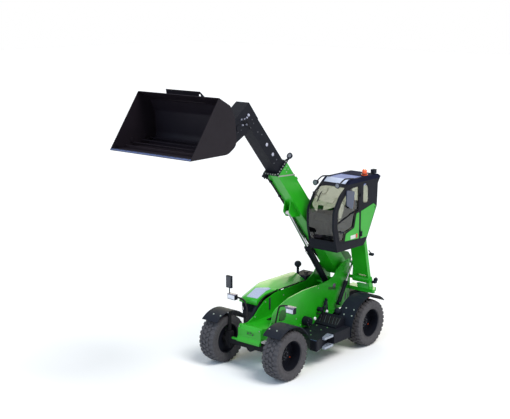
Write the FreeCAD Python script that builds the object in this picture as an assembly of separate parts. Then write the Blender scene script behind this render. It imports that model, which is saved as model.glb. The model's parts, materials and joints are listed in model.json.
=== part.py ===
"""Telehandler with a raised side cab, a two-stage boom and a bucket.

Millimetres. +X is forward, +Y is left, +Z is up.  Every piece is modelled from
the ground point under the front axle and moved by FRONT_AXLE_X when it is
written, so that the written origin is on the ground at the middle of the machine.
"""
import FreeCAD, Part
import math
import os

Vector = FreeCAD.Vector

# ---------------------------------------------------------------- driving sizes
FRONT_AXLE_X = 424.0        # front axle ahead of the written origin
WHEELBASE = 3400.0
TRACK = 2062.0              # between the middles of the two wheels of an axle
TYRE_RADIUS = 630.0
TYRE_WIDTH = 480.0
TYRE_SHOULDER = (50.0, 60.0)  # bevel between tread and sidewall, across and inwards
RIM_RADIUS = 378.0
RIM_LIP = 18.0
HUB_FACE = -60.0            # outer face of the wheel disc from the tyre's middle
DISC_THICKNESS = 22.0
SPINDLE = 55.0
KINGPIN_Y = 830.0
KINGPIN = 32.0
AXLE_HALF = 85.0

FRONT_FENDER_RADIUS = 740.0
FRONT_FENDER_FROM = 48.0    # angles over the wheel, from straight ahead
FRONT_FENDER_TO = 148.0
REAR_FENDER_RADIUS = 835.0
REAR_FENDER_END = 136.0
FENDER_SHEET = 10.0

FRAME_HALF_WIDTH = 345.0
FRAME_PLATE = 30.0
FRAME_FRONT_X = 125.0
FRAME_REAR_X = -3690.0
TROUGH_FLOOR_Z = 1085.0     # floor of the trough that the boom lies in when it is down
AXLE_TOP = 830.0            # underside of the frame over the axles
BELLY_Z = 560.0
COUNTERWEIGHT_X = -4050.0   # front face of the counterweight
HITCH_PIN = 16.0
LIFTING_EYE = 22.0
SIDE_LIMIT = 1250.0         # outer face of platform and housing
PLATFORM_REAR_X = -2450.0
DECK_Z = 760.0
SKIRT_Z = 475.0
DECK_WALL = 12.0

HOOD_FRONT_X = -575.0
HOOD_REAR_X = -2600.0
HOOD_SHEET = 12.0
HOOD_HINGE = (-352.0, 1712.0)       # Y, Z of the hinge line
HINGE_BARREL = 12.0
HINGE_PIN = 6.0

BOOM_ANGLE = 49.4           # elevation of the boom as the machine stands
BOOM_PIVOT_X = -3470.0
BOOM_PIVOT_Z = 2000.0
BOOM_LENGTH = 3965.0        # pivot to the front end of the outer boom
BOOM_HALF_WIDTH = 205.0
BOOM_HALF_HEIGHT = 227.5
BOOM_WALL = 14.0
COLLAR_THICKNESS = 35.0
COLLAR_STANDS_OUT = 30.0
INNER_HALF_WIDTH = 180.0
INNER_HALF_HEIGHT = 170.0
INNER_WALL = 12.0
INNER_TAIL = 1890.0         # tail of the inner boom, from the pivot
INNER_END = 5560.0          # seam between inner boom and head, from the pivot
BOOM_PIN = 50.0

LIFT_FOOT = (-3080.0, 1590.0)
LIFT_EYE = (2701.0, -385.0)  # on the boom: along it and square to it
LIFT_BARREL_RADIUS = 82.0
LIFT_BARREL_LENGTH = 1460.0
LIFT_ROD_RADIUS = 45.0
LIFT_PIN = 35.0
LIFT_ROD_START = 700.0      # inner end of the rod, from the foot

TOOL_PIVOT = (1780.0, 6020.0)
TOOL_PIN = 40.0
LEVER_PIVOT = (730.0, 6170.0)
LEVER_PIN = 35.0
LEVER_REACH = 190.0         # the lever, and the coupler's arm that it swings
LEVER_ANGLE = 70.0
LINK_HALF_HEIGHT = 28.0
TOOL_LINK_PIN = 25.0
HEAD_HALF_WIDTH = 200.0
HEAD_PLATE = 25.0

BUCKET_HALF_WIDTH = 1243.0
BUCKET_PLATE = 12.0
BUCKET_BACK = ((1972.0, 6010.0), (2032.0, 6620.0))

CAB_RIGHT = 370.0
CAB_LEFT = 1230.0
CAB_WALL = 40.0
CAB_FLOOR = ((-1835.0, 2855.0), (-2985.0, 2840.0))  # underside, front and rear
CAB_SILL = ((-1700.0, 3095.0), (-3300.0, 3005.0))
CAB_ROOF_Z = 4530.0
CAB_TOP_Z = 4640.0
CAB_REAR_FOOT = (-3115.0, 2960.0)
CAB_REAR_KNEE = (-3575.0, 3805.0)
DOOR_REAR_X = -2790.0
DOOR_HINGE = (-2800.0, 1244.0)      # X, Y of the hinge line
DOOR_HINGE_Z = (3250.0, 4200.0)
GLASS_DEPTH = 10.0          # glass sits this far inside the outer faces
GLASS_THICKNESS = 6.0
GLASS_GAP = 1.5             # all round a pane

ARM_PIVOT = (-3640.0, 1725.0)
ARM_LENGTH = 1430.4
ARM_ANGLE = 77.24
ARM_RIGHT = 550.0
ARM_LEFT = 1020.0
ARM_THICKNESS = 120.0
ARM_TUBE_RADIUS = 100.0
ARM_PIN = 35.0
LINK_OFFSET = (-160.0, 330.0)
LINK_Y = 740.0
LINK_WIDTH = 80.0
LINK_PIN = 25.0
CAB_LIFT_FOOT = (-3028.0, 1117.0)
CAB_LIFT_EYE = (-3639.0, 2139.0)
CAB_LIFT_Y = 450.0
CAB_LIFT_BARREL_RADIUS = 52.0
CAB_LIFT_BARREL_LENGTH = 630.0
CAB_LIFT_ROD_RADIUS = 28.0
CAB_LIFT_ROD_START = 575.0

RUNNING_FIT = 0.05          # radial gap of a pin in its bore
SIDE_GAP = 6.0              # gap between faces that pass each other


# ---------------------------------------------------------------- small helpers
def outline(points):
    """Closed list of edges; a third number at a point rounds that corner."""
    count = len(points)
    corners = []
    for index, point in enumerate(points):
        here = Vector(point[0], point[1], 0)
        radius = point[2] if len(point) > 2 else 0
        if not radius:
            corners.append((here, here, here))
            continue
        before = points[index - 1]
        after = points[(index + 1) % count]
        back = (Vector(before[0], before[1], 0) - here).normalize()
        ahead = (Vector(after[0], after[1], 0) - here).normalize()
        half = back.getAngle(ahead) / 2
        reach = radius / math.tan(half)
        middle = (back + ahead).normalize()
        crown = here + middle * (radius / math.sin(half) - radius)
        corners.append((here + back * reach, crown, here + ahead * reach))
    edges = []
    for index, (start, crown, end) in enumerate(corners):
        if start.distanceToPoint(end) > 1e-6:
            edges.append(Part.Arc(start, crown, end).toShape())
        following = corners[(index + 1) % count][0]
        if end.distanceToPoint(following) > 1e-6:
            edges.append(Part.LineSegment(end, following).toShape())
    return edges


def face_of(points):
    return Part.Face(Part.Wire(outline(points)))


def plate_xz(points, y_low, y_high):
    """Prism between two Y values with its outline given as X, Z."""
    face = face_of(points)
    face.rotate(Vector(0, 0, 0), Vector(1, 0, 0), 90)
    face.translate(Vector(0, y_low, 0))
    return face.extrude(Vector(0, y_high - y_low, 0))


def plate_xy(points, z_low, z_high):
    face = face_of(points)
    face.translate(Vector(0, 0, z_low))
    return face.extrude(Vector(0, 0, z_high - z_low))


def plate_yz(points, x_low, x_high):
    """Prism between two X values with its outline given as Y, Z."""
    face = face_of(points)
    face.rotate(Vector(0, 0, 0), Vector(1, 1, 1), 120)
    face.translate(Vector(x_low, 0, 0))
    return face.extrude(Vector(x_high - x_low, 0, 0))


def box(x_span, y_span, z_span):
    low = Vector(x_span[0], y_span[0], z_span[0])
    return Part.makeBox(x_span[1] - x_span[0], y_span[1] - y_span[0], z_span[1] - z_span[0], low)


def bar_y(radius, place, y_low, y_high):
    """Round bar along Y at an X, Z place."""
    return Part.makeCylinder(radius, y_high - y_low, Vector(place[0], y_low, place[1]), Vector(0, 1, 0))


def bar_z(radius, x, y, z_low, z_high):
    return Part.makeCylinder(radius, z_high - z_low, Vector(x, y, z_low))


def both_sides(shape):
    """The shape and its mirror image across the middle plane."""
    return [shape, shape.mirror(Vector(0, 0, 0), Vector(0, 1, 0))]


def fused(shapes):
    first = shapes[0]
    return first.multiFuse(shapes[1:]).removeSplitter()


def cut(shape, tools):
    for tool in tools:
        shape = shape.cut(tool)
    return shape


def bars(points, radius):
    """Round bar along straight runs, mitred by letting each run reach past its corner."""
    runs = []
    for start, end in zip(points, points[1:]):
        low = Vector(*start)
        along = Vector(*end) - low
        reach = along.Length + radius / 2
        runs.append(Part.makeCylinder(radius, reach, low, along))
    return fused(runs)


def pane_xz(points, y_low, y_high):
    """Pane that fits an opening given as X, Z, with a gap all round."""
    face = face_of(points).makeOffset2D(-GLASS_GAP, 2)
    face.rotate(Vector(0, 0, 0), Vector(1, 0, 0), 90)
    face.translate(Vector(0, y_low, 0))
    return face.extrude(Vector(0, y_high - y_low, 0))


def bar_x(radius, y, z, x_low, x_high):
    """Round bar along X at a Y, Z place."""
    return Part.makeCylinder(radius, x_high - x_low, Vector(x_low, y, z), Vector(1, 0, 0))


def on_boom(shape):
    """Moves a shape from the boom's own frame, pivot at zero, to its place."""
    placed = shape.copy()
    placed.rotate(Vector(0, 0, 0), Vector(0, 1, 0), -BOOM_ANGLE)
    placed.translate(Vector(BOOM_PIVOT_X, 0, BOOM_PIVOT_Z))
    return placed


def boom_point(along, square):
    """World X, Z of a point given along the boom and square to it."""
    turn = math.radians(BOOM_ANGLE)
    x = BOOM_PIVOT_X + along * math.cos(turn) - square * math.sin(turn)
    z = BOOM_PIVOT_Z + along * math.sin(turn) + square * math.cos(turn)
    return (x, z)


def from_to(foot, eye):
    """Length and elevation from one X, Z point to another."""
    run = eye[0] - foot[0]
    rise = eye[1] - foot[1]
    return math.hypot(run, rise), math.degrees(math.atan2(rise, run))


def laid_from(shape, foot, elevation, y):
    """Turns a shape built along +X from zero up to an elevation at a foot point."""
    placed = shape.copy()
    placed.rotate(Vector(0, 0, 0), Vector(0, 1, 0), -elevation)
    placed.translate(Vector(foot[0], y, foot[1]))
    return placed


PIECES = {}


def keep(name, shape):
    PIECES[name] = shape


# ---------------------------------------------------------------- wheels and axles
def wheel_profile(points, middle_y):
    """Solid of revolution about the wheel's axle line, outline given as Y, radius."""
    face = face_of(points)
    # outline X is across the tyre, outline Y is the radius
    face.rotate(Vector(0, 0, 0), Vector(1, 1, 1), 120)
    turned = face.revolve(Vector(0, 0, 0), Vector(0, 1, 0), 360)
    turned.translate(Vector(0, middle_y, 0))
    return turned



def tyre():
    half = TYRE_WIDTH / 2
    tread = half - TYRE_SHOULDER[0]
    wall = TYRE_RADIUS - TYRE_SHOULDER[1]
    return wheel_profile([(-half, RIM_RADIUS), (-half, wall), (-tread, TYRE_RADIUS), (tread, TYRE_RADIUS), (half, wall),
                          (half, RIM_RADIUS)], TRACK / 2)


def rim():
    """Barrel with a flat disc set inside it, and the hub that turns on the spindle."""
    edge = TYRE_WIDTH / 2 - TYRE_SHOULDER[0]
    barrel = RIM_RADIUS - RIM_LIP
    back = HUB_FACE - DISC_THICKNESS
    bore = SPINDLE + RUNNING_FIT
    hub_end = HUB_FACE + 92
    return wheel_profile([(-edge, RIM_RADIUS), (-edge, barrel), (back, barrel), (back, bore), (hub_end, bore), (hub_end, 110),
                          (HUB_FACE, 110), (HUB_FACE, barrel), (edge, barrel), (edge, RIM_RADIUS)], TRACK / 2)


def knuckle(with_post):
    """Steering knuckle of a left wheel: kingpin body, spindle and fender post."""
    z = TYRE_RADIUS
    hub_y = TRACK / 2 + HUB_FACE
    pieces = [
        bar_z(72, 0, KINGPIN_Y, z - 160, z + 160),
        bar_z(KINGPIN, 0, KINGPIN_Y, z - 200, z + 240),
        bar_y(95, (0, z), KINGPIN_Y, hub_y - DISC_THICKNESS - 12),
        bar_y(SPINDLE, (0, z), KINGPIN_Y, hub_y + 80),
    ]
    if with_post:
        post_y = TRACK / 2 - TYRE_WIDTH / 2 - 50
        under_fender = FRONT_FENDER_RADIUS - FENDER_SHEET
        post = box((-45, 45), (post_y, post_y + 28), (z + 218, z + under_fender))
        pieces.append(box((-45, 45), (post_y, KINGPIN_Y + 45), (z + 218, z + 240)))
        pieces.append(post.common(bar_y(under_fender, (0, z), post_y, post_y + 28)))
    return fused(pieces)


def axle():
    """Beam, differential and the open yokes that carry the knuckles."""
    z = TYRE_RADIUS
    half = AXLE_HALF
    beam_end = KINGPIN_Y - 90
    beam = plate_xz([(-half, z - half, 30), (half, z - half, 30), (half, z + half, 30), (-half, z + half, 30)], -beam_end, beam_end)
    pieces = [beam, bar_x(135, 0, z - 10, -half - 8, half + 8), bar_x(80, 0, z - 10, -half - 70, -half)]
    for side in both_sides(box((-80, 80), (beam_end - 55, beam_end), (z - 210, z + 210))):
        pieces.append(side)
    lug = fused([box((-60, 60), (beam_end - 20, KINGPIN_Y), (z + 168, z + 210)),
                 bar_z(60, 0, KINGPIN_Y, z + 168, z + 210)])
    low_lug = lug.mirror(Vector(0, 0, z), Vector(0, 0, 1))
    pieces.extend(both_sides(lug))
    pieces.extend(both_sides(low_lug))
    whole = fused(pieces)
    bore = bar_z(KINGPIN + RUNNING_FIT, 0, KINGPIN_Y, 0, 2 * z)
    room = bar_z(78, 0, KINGPIN_Y, z - 168, z + 168)
    return cut(whole, both_sides(bore) + both_sides(room))


def front_fender():
    """Curved sheet over a front wheel with a turned-down outer edge."""
    inner_y = TRACK / 2 - TYRE_WIDTH / 2 - 50
    outer_y = TRACK / 2 + TYRE_WIDTH / 2
    radius = FRONT_FENDER_RADIUS
    sheet = FENDER_SHEET
    face = face_of([(inner_y, radius), (outer_y - sheet, radius), (outer_y, radius - sheet), (outer_y, radius - 3 * sheet),
                    (outer_y - sheet, radius - 3 * sheet), (outer_y - 2 * sheet, radius - sheet), (inner_y, radius - sheet)])
    face.rotate(Vector(0, 0, 0), Vector(1, 1, 1), 120)
    face.rotate(Vector(0, 0, 0), Vector(0, 1, 0), 90 - FRONT_FENDER_FROM)
    arch = face.revolve(Vector(0, 0, 0), Vector(0, 1, 0), FRONT_FENDER_FROM - FRONT_FENDER_TO)
    arch.translate(Vector(0, 0, TYRE_RADIUS))
    return arch


def running_gear():
    for end, axle_x, with_post in (("front", 0.0, True), ("rear", -WHEELBASE, False)):
        place = Vector(axle_x, 0, 0)
        beam = axle()
        beam.translate(place)
        keep(end + "_axle", beam)
        steered = {"knuckle": knuckle(with_post), "tyre": tyre(), "rim": rim()}
        steered["tyre"].translate(Vector(0, 0, TYRE_RADIUS))
        steered["rim"].translate(Vector(0, 0, TYRE_RADIUS))
        if with_post:
            steered["fender"] = front_fender()
        for kind, shape in steered.items():
            left, right = both_sides(shape)
            left.translate(place)
            right.translate(place)
            keep(end + "_left_" + kind, left)
            keep(end + "_right_" + kind, right)


# ---------------------------------------------------------------- main frame
def frame():
    """Two side plates round a closed beam, with the boom's trough between their tops."""
    inside = FRAME_HALF_WIDTH - FRAME_PLATE
    front = FRAME_FRONT_X
    rear = FRAME_REAR_X
    foot_x, foot_z = LIFT_FOOT
    tower = [(-2950, 1860, 150), (-3080, 2010, 120), (-3330, 2150, 120), (rear + 40, 2205, 25), (rear, 1580, 200),
             (rear + 30, 1060, 60), (-3230, 945, 60), (-2900, AXLE_TOP), (-2780, BELLY_Z), (-640, BELLY_Z - 30),
             (-400, AXLE_TOP), (front, AXLE_TOP)]
    left = [(front, 1120), (-250, 1105, 60), (-345, 1240), (-375, 1410, 80), (-500, 1520, 100), (-720, 1600, 200),
            (-1020, 1690, 300), (-1600, 1758), (-2300, 1757), (-2700, 1790, 300)]
    right = [(front, 1120), (-200, 1105, 80), (-450, 1212), (-620, 1360, 150), (-853, 1530, 200), (-1290, 1645, 300),
             (-2640, 1690, 300)]
    core = [(front - 20, TROUGH_FLOOR_Z), (front - 20, AXLE_TOP), (-400, AXLE_TOP), (-640, BELLY_Z), (-2780, BELLY_Z),
            (-2900, AXLE_TOP), (-3230, 900), (rear, 900), (rear, 1400), (foot_x - 160, 1400), (foot_x - 160, 1720),
            (foot_x - 130, 1720), (foot_x - 130, TROUGH_FLOOR_Z)]
    nose = [(-60, 1120), (front - 65, 1140), (front, 1045), (front, 850), (front + 60, 775), (front + 60, 720),
            (front - 20, 720), (front - 20, AXLE_TOP), (-60, AXLE_TOP)]
    pieces = [
        plate_xz(left + tower, inside, FRAME_HALF_WIDTH),
        plate_xz(right + tower, -FRAME_HALF_WIDTH, -inside),
        plate_xz(core, -inside, inside),
        plate_xz(nose, -FRAME_HALF_WIDTH - 25, FRAME_HALF_WIDTH + 25),
        box((front, front + 60), (-530, -FRAME_HALF_WIDTH), (735, 775)),
    ]
    lug = plate_xz([(foot_x - 140, 1400), (foot_x + 60, 1480), (foot_x + 80, foot_z, 40), (foot_x, foot_z + 90, 60),
                    (foot_x - 140, foot_z + 90)], 90, 118)
    pieces.extend(both_sides(lug))
    pieces.append(bar_y(LIFT_PIN, LIFT_FOOT, -inside, inside))
    pieces.append(bar_y(70, LIFT_FOOT, FRAME_HALF_WIDTH, FRAME_HALF_WIDTH + 12))
    pivot = (BOOM_PIVOT_X, BOOM_PIVOT_Z)
    pieces.append(bar_y(BOOM_PIN, pivot, -inside, inside))
    pieces.extend(both_sides(bar_y(120, pivot, BOOM_HALF_WIDTH + SIDE_GAP, inside)))
    pieces.extend(both_sides(bar_y(105, pivot, FRAME_HALF_WIDTH, FRAME_HALF_WIDTH + 10)))
    # pins that carry the cab's arm, link and cylinder on the left plate
    pieces.append(bar_y(ARM_PIN, ARM_PIVOT, FRAME_HALF_WIDTH, ARM_LEFT + 45))
    pieces.append(bar_y(46, ARM_PIVOT, FRAME_HALF_WIDTH, ARM_RIGHT - 45))
    pieces.append(bar_y(LINK_PIN, CAB_LIFT_FOOT, FRAME_HALF_WIDTH, CAB_LIFT_Y + 50))
    pieces.extend(arm_bracket())
    for x in HOOD_HINGE_X:
        pieces.append(box((x - 30, x - 2), (HOOD_HINGE[0], HOOD_HINGE[0] + 22), (1600, HOOD_HINGE[1])))
        pieces.append(hinge_x(x - 30, x - 2, HINGE_BARREL))
        pieces.append(hinge_x(x - 30, x + 26, HINGE_PIN))
    body = fused(pieces)
    window = plate_xz([(-605, 1155, 20), (-620, 1425, 20), (-720, 1430, 60), (-845, 1310, 40), (-850, 1140, 20)],
                      inside - 5, FRAME_HALF_WIDTH + 5)
    slot = plate_xz([(-3560, 1080, 20), (-3560, 1220, 20), (-3610, 1220, 20), (-3610, 1080, 20)], FRAME_HALF_WIDTH - 12,
                    FRAME_HALF_WIDTH + 5)
    notch = plate_xz([(-2670, 1600, 10), (-2840, 1560, 20), (-2760, 1480, 20)], FRAME_HALF_WIDTH - 12, FRAME_HALF_WIDTH + 5)
    recess = box((front - 15, front + 10), (-75, 150), (930, 1010))
    return cut(body, [window, slot, notch, recess])


HOOD_HINGE_X = (-1400.0, -2300.0)


def hinge_x(x_low, x_high, radius):
    """Round bar on the hood's hinge line."""
    return bar_x(radius, HOOD_HINGE[0], HOOD_HINGE[1], x_low, x_high)


def link_foot():
    return (ARM_PIVOT[0] + LINK_OFFSET[0], ARM_PIVOT[1] + LINK_OFFSET[1])


def arm_end():
    turn = math.radians(ARM_ANGLE)
    return (ARM_PIVOT[0] + ARM_LENGTH * math.cos(turn), ARM_PIVOT[1] + ARM_LENGTH * math.sin(turn))


def link_end():
    return (arm_end()[0] + LINK_OFFSET[0], arm_end()[1] + LINK_OFFSET[1])


def arm_bracket():
    """Beam over the rear wheel with the outer lug of the arm, a sloping face plate and the link's post."""
    x, z = ARM_PIVOT
    low = z - ARM_TUBE_RADIUS - 225
    top = low + 100
    link_x, link_z = link_foot()
    lug_y = ARM_LEFT + 15
    beam = plate_xy([(x - 190, FRAME_HALF_WIDTH), (x + 100, FRAME_HALF_WIDTH), (x + 100, 1180), (x + 40, 1215), (x - 120, 1100),
                     (x - 190, 1100)], low, top)
    lug = plate_xz([(x - 120, low), (x - 70, z, 30), (x, z + 85, 60), (x + 70, z, 30), (x + 100, low)], lug_y, lug_y + 25)
    post = plate_xz([(link_x - 45, low), (link_x - 45, link_z + 45, 40), (link_x + 40, link_z + 45, 40), (link_x + 40, low)],
                    LINK_Y + LINK_WIDTH + SIDE_GAP, LINK_Y + LINK_WIDTH + 34)
    pin = bar_y(LINK_PIN, link_foot(), LINK_Y - 12, LINK_Y + LINK_WIDTH + 20)
    cover = plate_yz([(620, 1.0), (940, 70), (1215, -190), (735, -200)], 0, 14)
    cover.rotate(Vector(0, 0, -200), Vector(0, 1, 0), -22)
    cover.translate(Vector(x + 100, 0, top - 95 + 200))
    cover = cover.cut(bar_y(ARM_TUBE_RADIUS + 15, ARM_PIVOT, 0, 2000))
    return [beam, lug, post, pin, cover]


def counterweight():
    rear = COUNTERWEIGHT_X
    low, top = 640, 1260
    neck = box((rear, FRAME_REAR_X), (-FRAME_HALF_WIDTH, FRAME_HALF_WIDTH), (910, top))
    weight = plate_xy([(rear, -620), (rear, 620), (rear - 150, 620, 90), (rear - 230, 480, 120), (rear - 230, -480, 120),
                       (rear - 150, -620, 90)], low, top)
    body = fused([neck, weight]).cut(box((rear - 240, rear - 100), (-80, 80), (low - 10, top + 10)))
    plates = [box((rear - 225, rear - 95), (-80, 80), (low + 10, low + 40)), box((rear - 225, rear - 95), (-80, 80), (low + 120, low + 150))]
    eye = plate_xz([(rear - 50, top - 5), (rear - 70, top + 85, 30), (rear - 150, top + 85, 30), (rear - 170, top - 5)], 290, 315)
    body = fused([body] + plates + both_sides(eye))
    pin_hole = bar_z(HITCH_PIN, rear - 170, 0, low - 20, low + 200)
    sling_hole = bar_y(LIFTING_EYE, (rear - 110, top + 45), -400, 400)
    return cut(body, [pin_hole, sling_hole])


def rear_fender():
    """Fixed arch over a rear wheel, with its front wall down beside the platform."""
    inner_y = TRACK / 2 - TYRE_WIDTH / 2 - 30
    outer_y = TRACK / 2 + TYRE_WIDTH / 2
    x = -WHEELBASE
    z = TYRE_RADIUS - 80
    end = math.radians(REAR_FENDER_END)

    def form(inset, foot):
        front = PLATFORM_REAR_X - SIDE_GAP - inset
        radius = REAR_FENDER_RADIUS - inset
        bend = x - radius * math.tan((end - math.pi / 2) / 2)
        return [(front, foot), (front, z + radius, radius), (bend, z + radius, radius),
                (x + radius * math.cos(end), z + radius * math.sin(end)), (x, z), (x, foot)]

    outer = plate_xz(form(0, 480), inner_y, outer_y)
    inner = plate_xz(form(FENDER_SHEET, 470), inner_y - 5, outer_y + 5)
    return outer.cut(inner)


# ---------------------------------------------------------------- sides of the chassis
STEP_NOTCH = ((-1060.0, SIDE_LIMIT), (-1700.0, 1065.0))


def notch_y(x):
    """Y of the slanted wall behind the steps at an X."""
    (x0, y0), (x1, y1) = STEP_NOTCH
    return y0 + (y1 - y0) * (x - x0) / (x1 - x0)


def platform():
    """Deck on a skirt, cut in where the steps hang."""
    side = SIDE_LIMIT
    base = FRAME_HALF_WIDTH
    rear = PLATFORM_REAR_X
    face = face_of([(-1530, base), (-1000, 1045), (-985, side, 30), STEP_NOTCH[0], STEP_NOTCH[1], (STEP_NOTCH[1][0] - 40, side),
                    (rear, side), (rear, base)])
    hollow = face.makeOffset2D(-DECK_WALL, 2)
    face.translate(Vector(0, 0, SKIRT_Z))
    hollow.translate(Vector(0, 0, SKIRT_Z - 10))
    deck = face.extrude(Vector(0, 0, DECK_Z - SKIRT_Z))
    return deck.cut(hollow.extrude(Vector(0, 0, DECK_Z - SKIRT_Z - 10)))


def steps():
    """Two trays that hang on the slanted wall."""
    front, back = -1335.0, STEP_NOTCH[1][0]
    edge = SIDE_LIMIT + 5
    treads = []
    for z in (438, 685):
        face = face_of([(front, notch_y(front)), (back, notch_y(back)), (back, edge), (front, edge)])
        hollow = face.makeOffset2D(-DECK_WALL, 2)
        face.translate(Vector(0, 0, z))
        hollow.translate(Vector(0, 0, z + DECK_WALL))
        tray = face.extrude(Vector(0, 0, 58))
        treads.append(tray.cut(hollow.extrude(Vector(0, 0, 58))))
    return Part.makeCompound(treads)


def valve_box():
    """Sloped cover on the deck, and the round unit beside the frame."""
    base = FRAME_HALF_WIDTH + 12
    rear = PLATFORM_REAR_X
    body = plate_xz([(rear + 370, DECK_Z), (rear + 370, DECK_Z + 30), (rear + 30, DECK_Z + 235), (rear, DECK_Z + 235), (rear, DECK_Z)],
                    base, 1040)
    place = (-1660, DECK_Z + 180)
    unit = bar_y(120, place, FRAME_HALF_WIDTH, FRAME_HALF_WIDTH + 190)
    cap = bar_y(70, place, FRAME_HALF_WIDTH + 190, FRAME_HALF_WIDTH + 225)
    return Part.makeCompound([body, unit.fuse(cap)])


def engine_housing():
    rear = PLATFORM_REAR_X
    side = SIDE_LIMIT - 30
    base = FRAME_HALF_WIDTH + 2
    face = face_of([(-700, -base), (-1010, -880), (-1040, -side, 30), (rear, -side), (rear, -base)])
    hollow = face.makeOffset2D(-10, 2)
    face.translate(Vector(0, 0, 480))
    hollow.translate(Vector(0, 0, 490))
    return face.extrude(Vector(0, 0, 660)).cut(hollow.extrude(Vector(0, 0, 700)))


HOOD_BEVEL = ((-575, -790, 1612), (-63200, 129500, -180375))


def behind_plane(point, inward):
    """Large block on the inner side of a plane."""
    block = Part.makeBox(9000, 9000, 9000, Vector(-4500, -4500, 0))
    block.Placement = FreeCAD.Placement(Vector(*point), FreeCAD.Rotation(Vector(0, 0, 1), Vector(*inward)))
    return block


def hood_form(inset):
    """Outer form of the hood, or the same form drawn in by an inset."""
    front = HOOD_FRONT_X - inset
    rear = HOOD_REAR_X
    base = FRAME_HALF_WIDTH + 10 + inset * 0.5
    outer = SIDE_LIMIT - 40 - inset
    side = plate_xz([(front, 1455), (front - 5, 1590 - inset, 110), (-1100, 1745 - inset, 500), (-1700, 1830 - inset, 600),
                     (rear, 1862 - inset), (rear, 1150), (-1060, 1150), (-1060, 1455)], -SIDE_LIMIT, 0)
    section = plate_yz([(-base, 1100), (-base, 1690 - inset), (-720, 1880 - inset, 300), (-1040 + inset, 1750 - inset, 250),
                        (-outer, 1350, 250), (-outer, 1100)], rear, HOOD_FRONT_X + 20)
    plan = plate_xy([(front + 20, -base), (front + 20, -930 + inset), (-1080, -outer, 250), (rear, -outer), (rear, -base)], 1100, 2000)
    point, inward = HOOD_BEVEL
    step = Vector(*inward).normalize() * inset
    bevel = behind_plane((point[0] + step.x, point[1] + step.y, point[2] + step.z), inward)
    return side.common(section).common(plan).common(bevel)


def hood():
    """Sheet cover over the engine, hinged along the frame."""
    shell = hood_form(0).cut(hood_form(HOOD_SHEET))
    open_side = plate_xz([(HOOD_FRONT_X + 25, 1100), (HOOD_FRONT_X + 25, 1440), (-640, 1465, 60), (-910, 1625, 150), (-1350, 1664, 200),
                          (HOOD_REAR_X + 12, 1680), (HOOD_REAR_X + 12, 1100)], -FRAME_HALF_WIDTH - 22, 0)
    pieces = [shell.cut(open_side)]
    for x in HOOD_HINGE_X:
        pieces.append(box((x, x + 28), (HOOD_HINGE[0] - 10, HOOD_HINGE[0]), (1680, HOOD_HINGE[1])))
        pieces.append(hinge_x(x, x + 28, HINGE_BARREL))
    body = fused(pieces)
    return cut(body, [hinge_x(x - 2, x + 30, HINGE_PIN + RUNNING_FIT) for x in HOOD_HINGE_X])


def grille():
    """Front of the engine room: cheek beside the frame, sloped screen and panel."""
    base = FRAME_HALF_WIDTH + 2
    cheek = plate_xz([(-300, 1112), (-690, 1142), (-830, 1142), (-830, 1445), (-600, 1445)], -base - 14, -base)
    screen = plate_xz([(-300, 1112), (-335, 1112), (-635, 1445), (-600, 1445)], -415, -base)
    panel = plate_yz([(-base, 1142), (-960, 1142), (-1050, 1300), (-1010, 1445), (-base, 1445)], -830, -800)
    return fused([cheek, screen, panel])


def engine_block():
    return box((-2250, -1200), (-1050, -430), (620, 1400))


def tank():
    """Service tank behind the hood, over the inner side of the rear wheel."""
    front = HOOD_REAR_X - 15
    return plate_xz([(front, 1330), (front, 1790, 60), (-3060, 1830, 60), (-3160, 1660, 60), (-3160, 1330)], -760,
                    -FRAME_HALF_WIDTH - 15)


def air_cleaner():
    """Stack with a round bowl on the tank."""
    x, y = -2700.0, -690.0
    pipe = bar_z(36, x, y, 1797, 2000)
    bowl = Part.makeCone(55, 95, 45, Vector(x, y, 1990))
    belt = bar_z(95, x, y, 2035, 2095)
    cap = Part.makeCone(95, 50, 50, Vector(x, y, 2095))
    return fused([pipe, bowl, belt, cap])


def headlamps():
    """Lamps on bent stays, and the mirror over the right one."""
    left_stay = bars([(-395, FRAME_HALF_WIDTH, 1100), (-395, 392, 1100), (-395, 525, 1655), (-440, 750, 1700)], 14)
    left = left_stay.fuse(box((-505, -395), (735, 985), (1530, 1690))).removeSplitter()
    foot = box((-264, -236), (-410, -FRAME_HALF_WIDTH), (1076, 1104))
    right_stay = bars([(-250, -397, 1090), (-330, -440, 1330), (-360, -560, 1590),
                       (-230, -760, 1690)], 14)
    lamp = box((-280, -170), (-985, -735), (1610, 1745))
    post = bar_z(14, -215, -955, 1740, 1910)
    mirror = box((-240, -180), (-1045, -870), (1900, 2215))
    return Part.makeCompound([left, fused([foot, right_stay, lamp, post, mirror])])


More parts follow.
